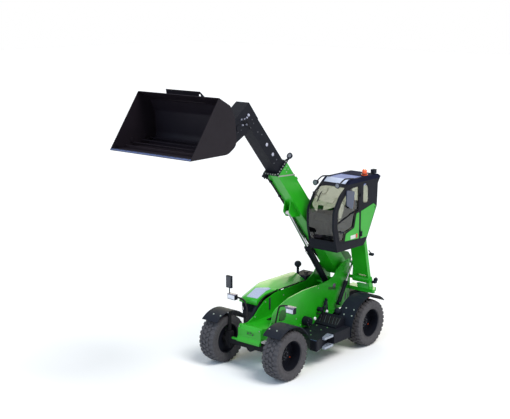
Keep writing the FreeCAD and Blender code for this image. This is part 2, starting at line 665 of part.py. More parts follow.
# ---------------------------------------------------------------- boom
def boom_outer():
    """Box boom with its pivot, the lift cylinder's lugs and the collar round the inner boom."""
    half = BOOM_HALF_HEIGHT
    along, square = LIFT_EYE
    body = plate_xz([(0, -half), (BOOM_LENGTH, -half), (BOOM_LENGTH, half), (0, half)], -BOOM_HALF_WIDTH, BOOM_HALF_WIDTH)
    root = bar_y(half, (0, 0), -BOOM_HALF_WIDTH, BOOM_HALF_WIDTH)
    lug = plate_xz([(along - 330, -half), (along - 90, square - 70, 60), (along + 90, square - 70, 60), (along + 260, -half)], 75, 105)
    y = BOOM_HALF_WIDTH + COLLAR_STANDS_OUT
    n = half + COLLAR_STANDS_OUT
    collar = box((BOOM_LENGTH, BOOM_LENGTH + COLLAR_THICKNESS), (-y, y), (-n, n))
    body = fused([body, root, collar] + both_sides(lug))
    cavity = box((330, BOOM_LENGTH), (-BOOM_HALF_WIDTH + BOOM_WALL, BOOM_HALF_WIDTH - BOOM_WALL), (-half + BOOM_WALL, half - BOOM_WALL))
    mouth = box((BOOM_LENGTH - 5, BOOM_LENGTH + COLLAR_THICKNESS + 5), (-INNER_HALF_WIDTH - SIDE_GAP, INNER_HALF_WIDTH + SIDE_GAP),
                (-INNER_HALF_HEIGHT - SIDE_GAP, INNER_HALF_HEIGHT + SIDE_GAP))
    bore = bar_y(BOOM_PIN + RUNNING_FIT, (0, 0), -BOOM_HALF_WIDTH - 1, BOOM_HALF_WIDTH + 1)
    return on_boom(cut(body, [cavity, mouth, bore]))


def boom_inner():
    tube = box((INNER_TAIL, INNER_END), (-INNER_HALF_WIDTH, INNER_HALF_WIDTH), (-INNER_HALF_HEIGHT, INNER_HALF_HEIGHT))
    hollow = box((INNER_TAIL - 5, INNER_END + 5), (-INNER_HALF_WIDTH + INNER_WALL, INNER_HALF_WIDTH - INNER_WALL),
                 (-INNER_HALF_HEIGHT + INNER_WALL, INNER_HALF_HEIGHT - INNER_WALL))
    return on_boom(tube.cut(hollow))


def lever_tip(pivot):
    turn = math.radians(LEVER_ANGLE)
    return (pivot[0] + LEVER_REACH * math.cos(turn), pivot[1] + LEVER_REACH * math.sin(turn))


def boom_head():
    """Gooseneck of two cheeks under a nose plate, with the pins they carry."""
    low = boom_point(INNER_END, -INNER_HALF_HEIGHT)
    top = boom_point(INNER_END, INNER_HALF_HEIGHT)
    top_inside = boom_point(INNER_END, INNER_HALF_HEIGHT - 18)
    crown = boom_point(6090, 183)
    x, z = TOOL_PIVOT
    inside = HEAD_HALF_WIDTH - HEAD_PLATE
    cheek = [low, (400, 6050, 120), (800, 5840, 120), (1200, 5800, 300), (x - 40, z - 70, 60), (x + 70, z, 60),
             (x - 40, z + 75, 60), (1280, 6090, 200), (850, 6400), crown, top]
    side = plate_xz(cheek, inside, HEAD_HALF_WIDTH)
    nose = plate_xz([crown, (850, 6400), (836, 6388), (crown[0] - 8, crown[1] - 20)], -inside, inside)
    roof = plate_xz([top, crown, (crown[0] - 4, crown[1] - 25), top_inside], -inside, inside)
    floor = plate_xz([(480, 6008), (780, 5850), (1180, 5815), (1180, 5830), (785, 5868), (490, 6022)], -inside, inside)
    pieces = both_sides(side) + [nose, roof, floor, bar_y(LEVER_PIN, LEVER_PIVOT, -inside, inside)]
    pieces.extend(both_sides(bar_y(TOOL_PIN, TOOL_PIVOT, 145, HEAD_HALF_WIDTH + SIDE_GAP + 40)))
    pieces.extend(both_sides(bar_y(65, TOOL_PIVOT, 145, inside)))
    pieces.extend(both_sides(bar_y(80, LEVER_PIVOT, HEAD_HALF_WIDTH, HEAD_HALF_WIDTH + 14)))
    return fused(pieces)


def link_plate(foot, eye, foot_radius, eye_radius, y_low, y_high):
    """Flat plate round two pins that tapers from one eye to the other."""
    length, elevation = from_to(foot, eye)
    lean = math.asin((foot_radius - eye_radius) / length)
    c, t = math.cos(lean), math.sin(lean)
    edges = [(foot_radius * t, foot_radius * c), (length + eye_radius * t, eye_radius * c),
             (length + eye_radius * t, -eye_radius * c), (foot_radius * t, -foot_radius * c)]
    web = plate_xz(edges, y_low, y_high)
    ends = [bar_y(foot_radius, (0, 0), y_low, y_high), bar_y(eye_radius, (length, 0), y_low, y_high)]
    return laid_from(fused([web] + ends), foot, elevation, 0)


def tilt_lever():
    """Two plates on the head's pin that push the tool link."""
    tip = lever_tip(LEVER_PIVOT)
    pieces = both_sides(link_plate(LEVER_PIVOT, tip, 60, 45, 55, 90))
    pieces.append(bar_y(TOOL_LINK_PIN, tip, -55, 55))
    return fused(pieces).cut(bar_y(LEVER_PIN + RUNNING_FIT, LEVER_PIVOT, -200, 200))


def tilt_link():
    foot = lever_tip(LEVER_PIVOT)
    eye = lever_tip(TOOL_PIVOT)
    length, elevation = from_to(foot, eye)
    bar = box((0, length), (-30, 30), (-LINK_HALF_HEIGHT, LINK_HALF_HEIGHT))
    ends = [bar_y(44, (0, 0), -40, 40), bar_y(44, (length, 0), -40, 40)]
    bores = [bar_y(TOOL_LINK_PIN + RUNNING_FIT, (0, 0), -60, 60), bar_y(TOOL_LINK_PIN + 1, (length, 0), -60, 60)]
    return laid_from(cut(fused([bar] + ends), bores), foot, elevation, 0)


def bucket_back_x(z):
    """X of the bucket's flat back at a height."""
    (x0, z0), (x1, z1) = BUCKET_BACK
    return x0 + (x1 - x0) * (z - z0) / (z1 - z0)


def coupler():
    """Tool carrier: cheeks outside the head, cross members and the link's lugs."""
    x, z = TOOL_PIVOT
    tip = lever_tip(TOOL_PIVOT)
    outside = HEAD_HALF_WIDTH + SIDE_GAP
    low_z, high_z = z + 140, z + 610
    cheek = plate_xz([(x - 90, z - 10, 70), (x, z - 95, 60), (x + 140, z - 60), (bucket_back_x(low_z), low_z),
                      (bucket_back_x(high_z), high_z), (x + 160, high_z, 40), (x + 40, z + 330, 80), (x - 75, z + 110, 60)],
                     outside, outside + 32)
    lug = plate_xz([(x + 10, z + 140, 40), (x + 30, z + 236, 45), (x + 216, z + 300), (x + 192, z + 90)], 48, 78)
    back = plate_xz([(x + 160, z + 80), (x + 192, z + 80), (x + 222, z + 335), (x + 190, z + 335)], -outside, outside)
    low = plate_xz([(x + 105, z - 50), (x + 138, z - 50), (x + 170, z + 60), (x + 140, z + 100)], -outside, outside)
    top = bar_y(48, (x + 185, z + 555), -outside - 90, outside + 90)
    pieces = both_sides(cheek) + both_sides(lug) + [back, low, top, bar_y(TOOL_LINK_PIN, tip, -78, 78)]
    return fused(pieces).cut(bar_y(TOOL_PIN + RUNNING_FIT, TOOL_PIVOT, -outside - 60, outside + 60))


def bucket():
    """Open scoop of one plate with closed ends, and the guard on its upper edge."""
    t = BUCKET_PLATE
    (foot_x, foot_z), (head_x, head_z) = BUCKET_BACK
    outer = [(3432, 5832), (2260, 5838, 330), (foot_x, foot_z, 200), (head_x, head_z, 120), (2180, 6890, 120), (2531, 7083)]
    inner = [(3600, 5832 + t), (2262, 5838 + t, 330 - t), (foot_x + t, foot_z + 7, 200 - t), (head_x + t, head_z - 3, 120 - t),
             (2190, 6880, 120 - t), (2560, 7083)]
    form = plate_xz(outer, -BUCKET_HALF_WIDTH, BUCKET_HALF_WIDTH)
    room = plate_xz(inner, -BUCKET_HALF_WIDTH + t, BUCKET_HALF_WIDTH - t)
    guard = plate_xz([(2225, 6905), (2245, 6900), (2290, 7150), (2274, 7150)], -600, 600)
    slope = plate_yz([(430, 7160), (620, 7160), (620, 6990)], 2200, 2400)
    hole = bar_x(32, 430, 7065, 2200, 2400)
    return fused([form.cut(room), cut(guard, [slope, hole])])


# ---------------------------------------------------------------- cylinders
def cylinder_barrel(radius, length, rod, pin, eye_half):
    """Barrel with its eye at zero, bored for the rod from the far end."""
    eye = bar_y(pin + 38, (0, 0), -eye_half, eye_half)
    tube = Part.makeCylinder(radius, length - pin - 20, Vector(pin + 20, 0, 0), Vector(1, 0, 0))
    bore = Part.makeCylinder(rod + 0.5, length, Vector(pin + 65, 0, 0), Vector(1, 0, 0))
    return cut(eye.fuse(tube).removeSplitter(), [bar_y(pin + RUNNING_FIT, (0, 0), -radius * 2, radius * 2), bore])


def cylinder_rod(radius, start, length, pin, eye_half):
    """Rod from inside its barrel to the eye at the far end."""
    bar = Part.makeCylinder(radius, length - start - pin, Vector(start, 0, 0), Vector(1, 0, 0))
    eye = bar_y(pin + 30, (length, 0), -eye_half, eye_half)
    body = bar.fuse(eye).removeSplitter()
    return body.cut(bar_y(pin + RUNNING_FIT, (length, 0), -radius * 3, radius * 3))


def cylinders():
    eye = boom_point(*LIFT_EYE)
    length, elevation = from_to(LIFT_FOOT, eye)
    barrel = cylinder_barrel(LIFT_BARREL_RADIUS, LIFT_BARREL_LENGTH, LIFT_ROD_RADIUS, LIFT_PIN, 84)
    rod = cylinder_rod(LIFT_ROD_RADIUS, LIFT_ROD_START, length, LIFT_PIN, 60)
    keep("lift_barrel", laid_from(barrel, LIFT_FOOT, elevation, 0))
    keep("lift_rod", laid_from(rod, LIFT_FOOT, elevation, 0))

    length, elevation = from_to(CAB_LIFT_FOOT, CAB_LIFT_EYE)
    barrel = cylinder_barrel(CAB_LIFT_BARREL_RADIUS, CAB_LIFT_BARREL_LENGTH, CAB_LIFT_ROD_RADIUS, LINK_PIN, 40)
    rod = cylinder_rod(CAB_LIFT_ROD_RADIUS, CAB_LIFT_ROD_START, length, LINK_PIN, 42)
    keep("cab_lift_barrel", laid_from(barrel, CAB_LIFT_FOOT, elevation, CAB_LIFT_Y))
    keep("cab_lift_rod", laid_from(rod, CAB_LIFT_FOOT, elevation, CAB_LIFT_Y))


# ---------------------------------------------------------------- cab lift
def cab_arm():
    """Wide box arm on a cross tube, with the lug for its cylinder."""
    half = ARM_THICKNESS / 2
    tube = bar_y(ARM_TUBE_RADIUS, (0, 0), ARM_RIGHT - 40, ARM_LEFT + 10)
    head = bar_y(65, (ARM_LENGTH, 0), ARM_RIGHT, ARM_LEFT)
    web = plate_xz([(60, -half), (ARM_LENGTH - 10, -half + 10), (ARM_LENGTH - 10, half - 10), (60, half)], ARM_RIGHT, ARM_LEFT)
    slot = box((115, 160), (ARM_RIGHT + 90, ARM_LEFT - 60), (-200, 200))
    eye_run, eye_angle = from_to(ARM_PIVOT, CAB_LIFT_EYE)
    lug = link_plate((0, 0), (eye_run, 0), 95, 60, ARM_RIGHT - 42, ARM_RIGHT)
    lug.rotate(Vector(0, 0, 0), Vector(0, 1, 0), ARM_ANGLE - eye_angle)
    body = fused([tube, head, web, lug]).cut(slot)
    bores = [bar_y(ARM_PIN + RUNNING_FIT, (0, 0), 0, 2000), bar_y(ARM_PIN + RUNNING_FIT, (ARM_LENGTH, 0), 0, 2000)]
    return laid_from(cut(body, bores), ARM_PIVOT, ARM_ANGLE, 0)


def cab_link():
    bar = link_plate((0, 0), (ARM_LENGTH, 0), 45, 45, LINK_Y, LINK_Y + LINK_WIDTH)
    waist = [box((90, ARM_LENGTH - 90), (0, 2000), (33, 80)), box((90, ARM_LENGTH - 90), (0, 2000), (-80, -33))]
    bores = [bar_y(LINK_PIN + RUNNING_FIT, (0, 0), 0, 2000), bar_y(LINK_PIN + 1, (ARM_LENGTH, 0), 0, 2000)]
    return laid_from(cut(bar, waist + bores), link_foot(), ARM_ANGLE, 0)


# ---------------------------------------------------------------- cab
def cab_form(inset):
    """Outer form of the cab, bowed in front and cut back below, or the same drawn in by an inset."""
    top = CAB_TOP_Z
    face = face_of([CAB_FLOOR[0], (-1680, 3480, 600), (-1680, 3900, 300), (-1940, 4280, 300), (-2440, top, 250), (-3600, top, 80),
                    (-3720, top - 70), (-3690, CAB_ROOF_Z), (-3600, 4400, 80), CAB_REAR_KNEE + (60,), CAB_REAR_FOOT, CAB_FLOOR[1]])
    if inset:
        face = face.makeOffset2D(-inset, 2)
    face.rotate(Vector(0, 0, 0), Vector(1, 0, 0), 90)
    face.translate(Vector(0, CAB_RIGHT + inset, 0))
    return face.extrude(Vector(0, CAB_LEFT - CAB_RIGHT - 2 * inset, 0))


def line_at(line, x):
    """Z of a straight line, given by two X, Z points, at an X."""
    (x0, z0), (x1, z1) = line
    return z0 + (z1 - z0) * (x - x0) / (x1 - x0)


def through_left(points):
    """Prism that runs right through the cab's left wall."""
    return plate_xz(points, CAB_LEFT - CAB_WALL - 5, CAB_LEFT + 5)


def door_outline(gap):
    """Door on the left wall, or the opening that is a gap larger."""
    rear = DOOR_REAR_X - gap
    return [(-1870 + gap, line_at(CAB_SILL, -1870) + 12 - gap), (-1768 + gap, 3500, 450), (-1768 + gap, 3890, 300),
            (-2000 + gap, 4245 + gap, 300), (-2330, 4475 + gap, 120), (rear, 4488 + gap, 60), (rear, line_at(CAB_SILL, rear) + 12 - gap)]


DOOR_WINDOW = [(-1925, 3125, 40), (-1822, 3500, 420), (-1822, 3875, 280), (-2040, 4200, 280), (-2390, 4425, 80),
               (-2742, 4440, 60), (-2742, 3790, 30), (-2615, 3765, 60), (-2535, 3405, 80), (-2165, 3310, 60), (-2125, 3118, 40)]
DOOR_PANEL = [(-2770, 3755, 30), (-2645, 3735, 60), (-2560, 3372, 80), (-2195, 3280, 60), (-2150, 3095, 20), (-2770, 3062, 20)]
REAR_PANEL = [(-2850, 3045, 20), (-2850, 3765, 20), (-3420, 3885, 30), (-3548, 3800, 30), (-3143, 3045, 20)]
QUARTER_WINDOW = [(-2940, 3960, 60), (-2940, 4465, 60), (-3060, 4465, 60), (-3180, 4330, 60), (-3190, 3960, 60)]
RIGHT_WINDOW = [(-1950, 3250, 80), (-1810, 3700, 300), (-1860, 4020, 200), (-2200, 4400, 80), (-3350, 4400, 80),
                (-3400, 3860, 60), (-3150, 3350, 80)]
REAR_WINDOW = ((-3720.0, -3500.0), (3860.0, 4360.0))
SKYLIGHT = (-3030.0, -2440.0)
PILLAR = 60.0               # frame left beside the screen, roof and rear panes


def cab():
    shell = cab_form(0).cut(cab_form(CAB_WALL))
    all_y = (0, 2000)
    pane_y = (CAB_RIGHT + PILLAR, CAB_LEFT - PILLAR)
    glass_y = (pane_y[0] + GLASS_GAP, pane_y[1] - GLASS_GAP)
    front, rear = -1500, -3800
    above_sill = plate_xz([(front, line_at(CAB_SILL, front)), (front, CAB_ROOF_Z), (rear, CAB_ROOF_Z), (rear, line_at(CAB_SILL, rear))],
                          *all_y)
    roof_space = box((rear, front), all_y, (CAB_ROOF_Z, CAB_TOP_Z + 10))
    seat_post = plate_xz([(-2560, 2800), (-2600, 3232), (-2980, 3232), (-2940, 2800)], 620, 980).common(cab_form(CAB_WALL / 2))
    keep("cab_base", fused([shell.cut(above_sill).cut(roof_space), seat_post]))

    skylight = box(SKYLIGHT, (CAB_RIGHT + 90, CAB_LEFT - 90), (CAB_ROOF_Z, CAB_TOP_Z + 10))
    keep("cab_roof", shell.common(roof_space).cut(skylight))

    screen = box((-2260, front), pane_y, (3130, CAB_ROOF_Z - 70))
    rear_window = box(REAR_WINDOW[0], pane_y, REAR_WINDOW[1])
    holes = [through_left(door_outline(4)), through_left([(x, z) for x, z, *_ in REAR_PANEL]), through_left(QUARTER_WINDOW),
             plate_xz(RIGHT_WINDOW, CAB_RIGHT - 5, CAB_RIGHT + CAB_WALL + 5), screen, rear_window]
    body = cut(shell.common(above_sill), holes)
    hinge_x0, hinge_y = DOOR_HINGE
    knuckles = [body]
    for z in DOOR_HINGE_Z:
        knuckles.append(box((hinge_x0 - 50, hinge_x0), (CAB_LEFT, CAB_LEFT + 10), (z, z + 40)))
        knuckles.append(bar_z(HINGE_BARREL, hinge_x0, hinge_y, z, z + 40))
        knuckles.append(bar_z(HINGE_PIN, hinge_x0, hinge_y, z - 40, z + 40))
    keep("cab_frame", fused(knuckles))
    keep("cab_side_panel", pane_xz(REAR_PANEL, CAB_LEFT - CAB_WALL, CAB_LEFT + 4))

    pane = cab_form(GLASS_DEPTH).cut(cab_form(GLASS_DEPTH + GLASS_THICKNESS))
    outer = GLASS_DEPTH
    inner = GLASS_DEPTH + GLASS_THICKNESS
    panes = [
        pane.common(box((-2258, front), glass_y, (3132, CAB_ROOF_Z - 72))),
        pane_xz(QUARTER_WINDOW, CAB_LEFT - inner, CAB_LEFT - outer),
        pane_xz(RIGHT_WINDOW, CAB_RIGHT + outer, CAB_RIGHT + inner),
        pane.common(box(REAR_WINDOW[0], glass_y, (REAR_WINDOW[1][0] + 2, REAR_WINDOW[1][1] - 2))),
        pane.common(box((SKYLIGHT[0] + 2, SKYLIGHT[1] - 2), (CAB_RIGHT + 92, CAB_LEFT - 92), (CAB_ROOF_Z, CAB_TOP_Z))),
    ]
    keep("cab_glass", Part.makeCompound(panes))


def cab_door():
    """Door leaf with its window, grab bar and the moving half of the hinges."""
    leaf = plate_xz(door_outline(0), CAB_LEFT - CAB_WALL, CAB_LEFT).cut(through_left(DOOR_WINDOW))
    hinge_x0, hinge_y = DOOR_HINGE
    pieces = [leaf, bars([(-1800, CAB_LEFT - 12, 3572), (-2765, CAB_LEFT - 12, 3850)], 11)]
    holes = []
    for z in DOOR_HINGE_Z:
        pieces.append(box((hinge_x0, hinge_x0 + 26), (CAB_LEFT + 2, CAB_LEFT + 10), (z - 42, z - 2)))
        pieces.append(box((hinge_x0 + 12, hinge_x0 + 26), (CAB_LEFT - 1, CAB_LEFT + 3), (z - 42, z - 2)))
        pieces.append(bar_z(HINGE_BARREL, hinge_x0, hinge_y, z - 42, z - 2))
        holes.append(bar_z(HINGE_PIN + RUNNING_FIT, hinge_x0, hinge_y, z - 60, z))
    keep("cab_door", cut(fused(pieces), holes))
    keep("door_panel", plate_xz(DOOR_PANEL, CAB_LEFT, CAB_LEFT + 6))
    keep("door_glass", pane_xz(DOOR_WINDOW, CAB_LEFT - 34, CAB_LEFT - 28))
    mirror = plate_xz([(-2160, 4410, 40), (-2510, 4340, 60), (-2440, 3860, 60), (-2160, 4025, 40)], CAB_LEFT + 10, CAB_LEFT + 38)
    keep("cab_mirror", mirror.fuse(bar_y(18, (-2235, 4360), CAB_LEFT, CAB_LEFT + 12)).removeSplitter())


def cab_rear_x(z):
    """X of the cab's sloping rear wall at a height."""
    (x0, z0), (x1, z1) = CAB_REAR_FOOT, CAB_REAR_KNEE
    return x0 + (x1 - x0) * (z - z0) / (z1 - z0)


def cab_bracket():
    """Cheeks on the cab's rear wall that hold the arm's head and the link."""
    x, z = arm_end()
    link_x, link_z = link_end()
    low, high = z - 140, link_z + 230
    cheek = [(cab_rear_x(low) + 20, low), (x + 10, z - 110, 60), (x - 85, z, 80), (x - 130, z + 180, 80), (cab_rear_x(high), high)]
    inner = plate_xz(cheek, ARM_RIGHT - 35, ARM_RIGHT - 10)
    outer = plate_xz(cheek, ARM_LEFT + 10, ARM_LEFT + 35)
    ear = [(link_x - 40, link_z - 40, 40), (link_x - 30, link_z + 50, 40), (cab_rear_x(high), high), (cab_rear_x(link_z - 120), link_z - 120)]
    ear_low = LINK_Y - 12
    ear_high = LINK_Y + LINK_WIDTH + 12
    ears = [plate_xz(ear, ear_low - 25, ear_low), plate_xz(ear, ear_high, ear_high + 25)]
    pins = [bar_y(ARM_PIN, (x, z), ARM_RIGHT - 35, ARM_LEFT + 35), bar_y(LINK_PIN, (link_x, link_z), ear_low - 25, ear_high + 25)]
    backing = plate_xz([(cab_rear_x(low) + 20, low), (cab_rear_x(low) - 18, low), (cab_rear_x(high) - 18, high), (cab_rear_x(high) + 20, high)],
                       ARM_RIGHT - 35, ARM_LEFT + 35)
    return fused([inner, outer, backing] + ears + pins).cut(cab_form(0))


def seat():
    """Cushion and backrest in one padded form."""
    return plate_xz([(-2500, 3235, 20), (-2480, 3330, 40), (-2900, 3345, 50), (-3010, 3880, 40), (-3090, 3880, 40),
                     (-3020, 3235, 40)], 540, 1060)


def steering_column():
    """Foot, raked post and wheel in front of the seat."""
    post = laid_from(Part.makeCylinder(40, 640, Vector(0, 0, 0), Vector(1, 0, 0)), (-2060, 3000), 104, 800)
    foot = box((-2180, -2000), (700, 900), (2960, 3110))
    ring = face_of([(176, -12), (206, -12), (206, 12), (176, 12)])
    ring.rotate(Vector(0, 0, 0), Vector(1, 0, 0), 90)
    rim_ring = ring.revolve(Vector(0, 0, 0), Vector(0, 0, 1), 360)
    spokes = [box((-180, 180), (-16, 16), (-8, 8)), box((-16, 16), (-180, 180), (-8, 8)), bar_z(45, 0, 0, -30, 14)]
    wheel = fused([rim_ring] + spokes)
    wheel.rotate(Vector(0, 0, 0), Vector(0, 1, 0), -14)
    wheel.translate(Vector(-2215, 800, 3625))
    return fused([post, foot, wheel]).common(cab_form(CAB_WALL))


def cab_lights():
    """Beacon, rear lamp and two work lamps on curved stays."""
    top = CAB_TOP_Z
    beacon = fused([bar_z(85, -3190, 1080, top, top + 28), bar_z(62, -3190, 1080, top + 28, top + 125),
                    Part.makeCone(62, 36, 35, Vector(-3190, 1080, top + 125))])
    rear_lamp = fused([bar_z(14, -3475, 1170, top, top + 30), box((-3540, -3410), (1120, 1220), (top + 20, top + 130))])
    lamps = [beacon, rear_lamp]
    for y in (500, 1212):
        stay = bars([(-2520, y, top + 11), (-2180, y, top + 60), (-1975, y, top - 20), (-1930, y, top - 65)], 11)
        lamps.append(fused([stay, bar_x(52, y, top - 72, -1940, -1845)]))
    return Part.makeCompound(lamps)


# ---------------------------------------------------------------- build and write
running_gear()
keep("main_frame", frame())
keep("counterweight", counterweight())
keep("rear_fenders", Part.makeCompound(both_sides(rear_fender())))
keep("platform", platform())
keep("steps", steps())
keep("valve_box", valve_box())
keep("engine_housing", engine_housing())
keep("engine_block", engine_block())
keep("grille", grille())
keep("hood", hood())
keep("tank", fused([tank(), air_cleaner()]))
keep("headlamps", headlamps())
keep("boom_outer", boom_outer())
keep("boom_inner", boom_inner())
keep("boom_head", boom_head())
keep("tilt_lever", tilt_lever())
keep("tilt_link", tilt_link())
keep("coupler", coupler())
keep("bucket", bucket())
cylinders()
keep("cab_arm", cab_arm())
keep("cab_link", cab_link())
cab()
cab_door()
keep("cab_bracket", cab_bracket())
keep("seat", seat())
keep("steering_column", steering_column())
keep("cab_lights", cab_lights())

os.makedirs("parts", exist_ok=True)
whole = FreeCAD.BoundBox()
for name, shape in PIECES.items():
    shape.translate(Vector(FRONT_AXLE_X, 0, 0))
    shape.exportStep("parts/" + name + ".step")
    whole.add(shape.BoundBox)
    print(name, "solids", len(shape.Solids), "valid", shape.isValid(), "litres", round(shape.Volume / 1e6, 1))
print(len(PIECES), "pieces, box", whole)
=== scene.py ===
"""Looks of a telescopic handler, laid out as an add-on and run as a script."""

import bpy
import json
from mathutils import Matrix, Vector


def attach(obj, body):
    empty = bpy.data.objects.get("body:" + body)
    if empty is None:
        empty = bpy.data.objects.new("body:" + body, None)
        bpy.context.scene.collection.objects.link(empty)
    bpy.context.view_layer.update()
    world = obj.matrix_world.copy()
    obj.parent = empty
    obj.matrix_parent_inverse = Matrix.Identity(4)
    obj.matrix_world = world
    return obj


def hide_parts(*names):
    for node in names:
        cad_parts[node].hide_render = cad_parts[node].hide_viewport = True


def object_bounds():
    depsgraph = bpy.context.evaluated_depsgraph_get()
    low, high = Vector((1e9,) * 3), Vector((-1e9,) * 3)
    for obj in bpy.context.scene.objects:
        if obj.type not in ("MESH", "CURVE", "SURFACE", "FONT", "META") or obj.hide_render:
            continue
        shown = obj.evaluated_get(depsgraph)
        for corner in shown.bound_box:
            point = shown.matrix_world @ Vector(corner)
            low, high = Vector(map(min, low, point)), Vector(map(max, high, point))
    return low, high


bl_info = {
    "name": "Telescopic handler finish",
    "version": (1, 0, 0),
    "blender": (4, 5, 0),
    "location": "3D View > Sidebar > Handler",
    "description": "Adds tread, glass, bolts, pipes, lamps and paint to the handler's frame",
    "category": "Object",
}

import bpy
import bmesh
import json
import math
from bpy.props import FloatProperty, FloatVectorProperty, IntProperty, PointerProperty
from mathutils import Matrix, Vector

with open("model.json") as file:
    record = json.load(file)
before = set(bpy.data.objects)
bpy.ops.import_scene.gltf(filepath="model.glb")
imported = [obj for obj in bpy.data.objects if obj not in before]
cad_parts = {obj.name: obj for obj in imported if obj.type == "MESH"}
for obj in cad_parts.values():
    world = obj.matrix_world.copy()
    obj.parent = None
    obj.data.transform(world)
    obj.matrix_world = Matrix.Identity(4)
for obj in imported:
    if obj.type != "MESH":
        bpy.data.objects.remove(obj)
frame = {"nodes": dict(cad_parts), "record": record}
CAD_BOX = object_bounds()
RECORD = frame["record"]
BODY_OF = {node: body for body, nodes in RECORD["behaviour"]["bodies"].items() for node in nodes}
SLOT_OF = {part["node"]: part["material_slot"] for part in RECORD["subparts"]}
FORWARD = Vector((1, 0, 0))
LEFT = Vector((0, 1, 0))
UP = Vector((0, 0, 1))
FRONT_AXLE_X = 0.424       # the front axle's place in the row frame
WELD_GAP = 0.00002         # corners of a CAD mesh closer than this are one
CUT_GAP = 0.00001          # the same, where a plane cuts a mesh
FLAT = math.radians(0.5)   # facets that lean less than this are one face
SHARP = math.radians(30)   # edges whose faces lean more than this are rounded


def linear(red, green, blue):
    """Linear colour of a display colour given in 0..255."""
    values = []
    for channel in (red, green, blue):
        part = channel / 255
        values.append(part / 12.92 if part <= 0.04045 else ((part + 0.055) / 1.055) ** 2.4)
    return tuple(values)


# ------------------------------------------------------------------ properties
def colour_choice(name, description, default):
    return FloatVectorProperty(name=name, description=description, default=default, size=3, subtype="COLOR",
                               min=0, max=1)


class HandlerColours(bpy.types.PropertyGroup):
    green: colour_choice("Green paint", "Gloss paint of frame, boom and panels", linear(30, 160, 22))
    black: colour_choice("Black paint", "Satin paint of boom head, cab and platform", linear(18, 20, 29))
    bucket: colour_choice("Bucket paint", "Dark paint of the bucket", linear(27, 22, 29))
    plastic: colour_choice("Black plastic", "Fenders, lamp housings and trim", linear(22, 27, 37))
    rubber: colour_choice("Tyre rubber", "Dusty tyre rubber", linear(68, 66, 70))
    glass: colour_choice("Glass tint", "Tint of the cab's glass", (0.56, 0.57, 0.49))
    beacon: colour_choice("Beacon", "Orange lens of the beacon", linear(250, 88, 8))


class HandlerSizes(bpy.types.PropertyGroup):
    soft_edge: FloatProperty(name="Edge rounding", description="Width of the rounded edges of plates and castings",
                             default=0.004, min=0.0005, max=0.02, unit="LENGTH")
    tread_depth: FloatProperty(name="Tread depth", description="Height of a tread block",
                               default=0.028, min=0.005, max=0.05, unit="LENGTH")
    tread_blocks: IntProperty(name="Tread blocks", description="Blocks round one side of a tyre",
                              default=30, min=12, max=48)
    pipe: FloatProperty(name="Pipe", description="Diameter of a clamped hydraulic pipe",
                        default=0.026, min=0.01, max=0.06, unit="LENGTH")


def colours():
    return bpy.context.scene.handler_colours


def sizes():
    return bpy.context.scene.handler_sizes


# ------------------------------------------------------------------ materials
MATERIALS = {}


def set_inputs(node, values):
    for name, value in values.items():
        node.inputs[name].default_value = value


def shader_material(name, colour, roughness, metallic=0.0, coat=0.0, specular=0.5):
    """A Principled material; returns its node tree and shader."""
    material = bpy.data.materials.new(name)
    material.use_nodes = True
    tree = material.node_tree
    shader = tree.nodes["Principled BSDF"]
    set_inputs(shader, {"Base Color": (*colour, 1), "Roughness": roughness, "Metallic": metallic, "Coat Weight": coat,
                        "Coat Roughness": 0.12, "Specular IOR Level": specular})
    MATERIALS[name] = material
    return tree, shader


def noise(tree, scale, detail=4.0, roughness=0.55):
    coordinates = tree.nodes.new("ShaderNodeTexCoord")
    texture = tree.nodes.new("ShaderNodeTexNoise")
    set_inputs(texture, {"Scale": scale, "Detail": detail, "Roughness": roughness})
    tree.links.new(coordinates.outputs["Object"], texture.inputs["Vector"])
    return texture


def vary_colour(tree, shader, texture, colour, darker, lighter, low=0.35, high=0.7):
    """Colour runs between a darker and a lighter tone with a texture."""
    ramp = tree.nodes.new("ShaderNodeValToRGB")
    ramp.color_ramp.elements[0].position = low
    ramp.color_ramp.elements[1].position = high
    ramp.color_ramp.elements[0].color = (*[c * darker for c in colour], 1)
    ramp.color_ramp.elements[1].color = (*[min(1, c * lighter) for c in colour], 1)
    tree.links.new(texture.outputs["Fac"], ramp.inputs["Fac"])
    tree.links.new(ramp.outputs["Color"], shader.inputs["Base Color"])


def vary_roughness(tree, shader, texture, low, high):
    span = tree.nodes.new("ShaderNodeMapRange")
    set_inputs(span, {"To Min": low, "To Max": high})
    tree.links.new(texture.outputs["Fac"], span.inputs["Value"])
    tree.links.new(span.outputs["Result"], shader.inputs["Roughness"])


def add_bump(tree, shader, texture, strength, distance):
    bump = tree.nodes.new("ShaderNodeBump")
    set_inputs(bump, {"Strength": strength, "Distance": distance})
    tree.links.new(texture.outputs["Fac"], bump.inputs["Height"])
    tree.links.new(bump.outputs["Normal"], shader.inputs["Normal"])


def painted(name, colour, roughness, coat, peel=220.0, specular=0.5):
    """Sprayed paint: slight orange peel, faint cloudiness and dust."""
    tree, shader = shader_material(name, colour, roughness, coat=coat, specular=specular)
    vary_colour(tree, shader, noise(tree, 2.3), colour, 0.9, 1.08)
    vary_roughness(tree, shader, noise(tree, 9.0), roughness * 0.85, roughness * 1.25)
    add_bump(tree, shader, noise(tree, peel, 2.0), 0.06, 0.002)


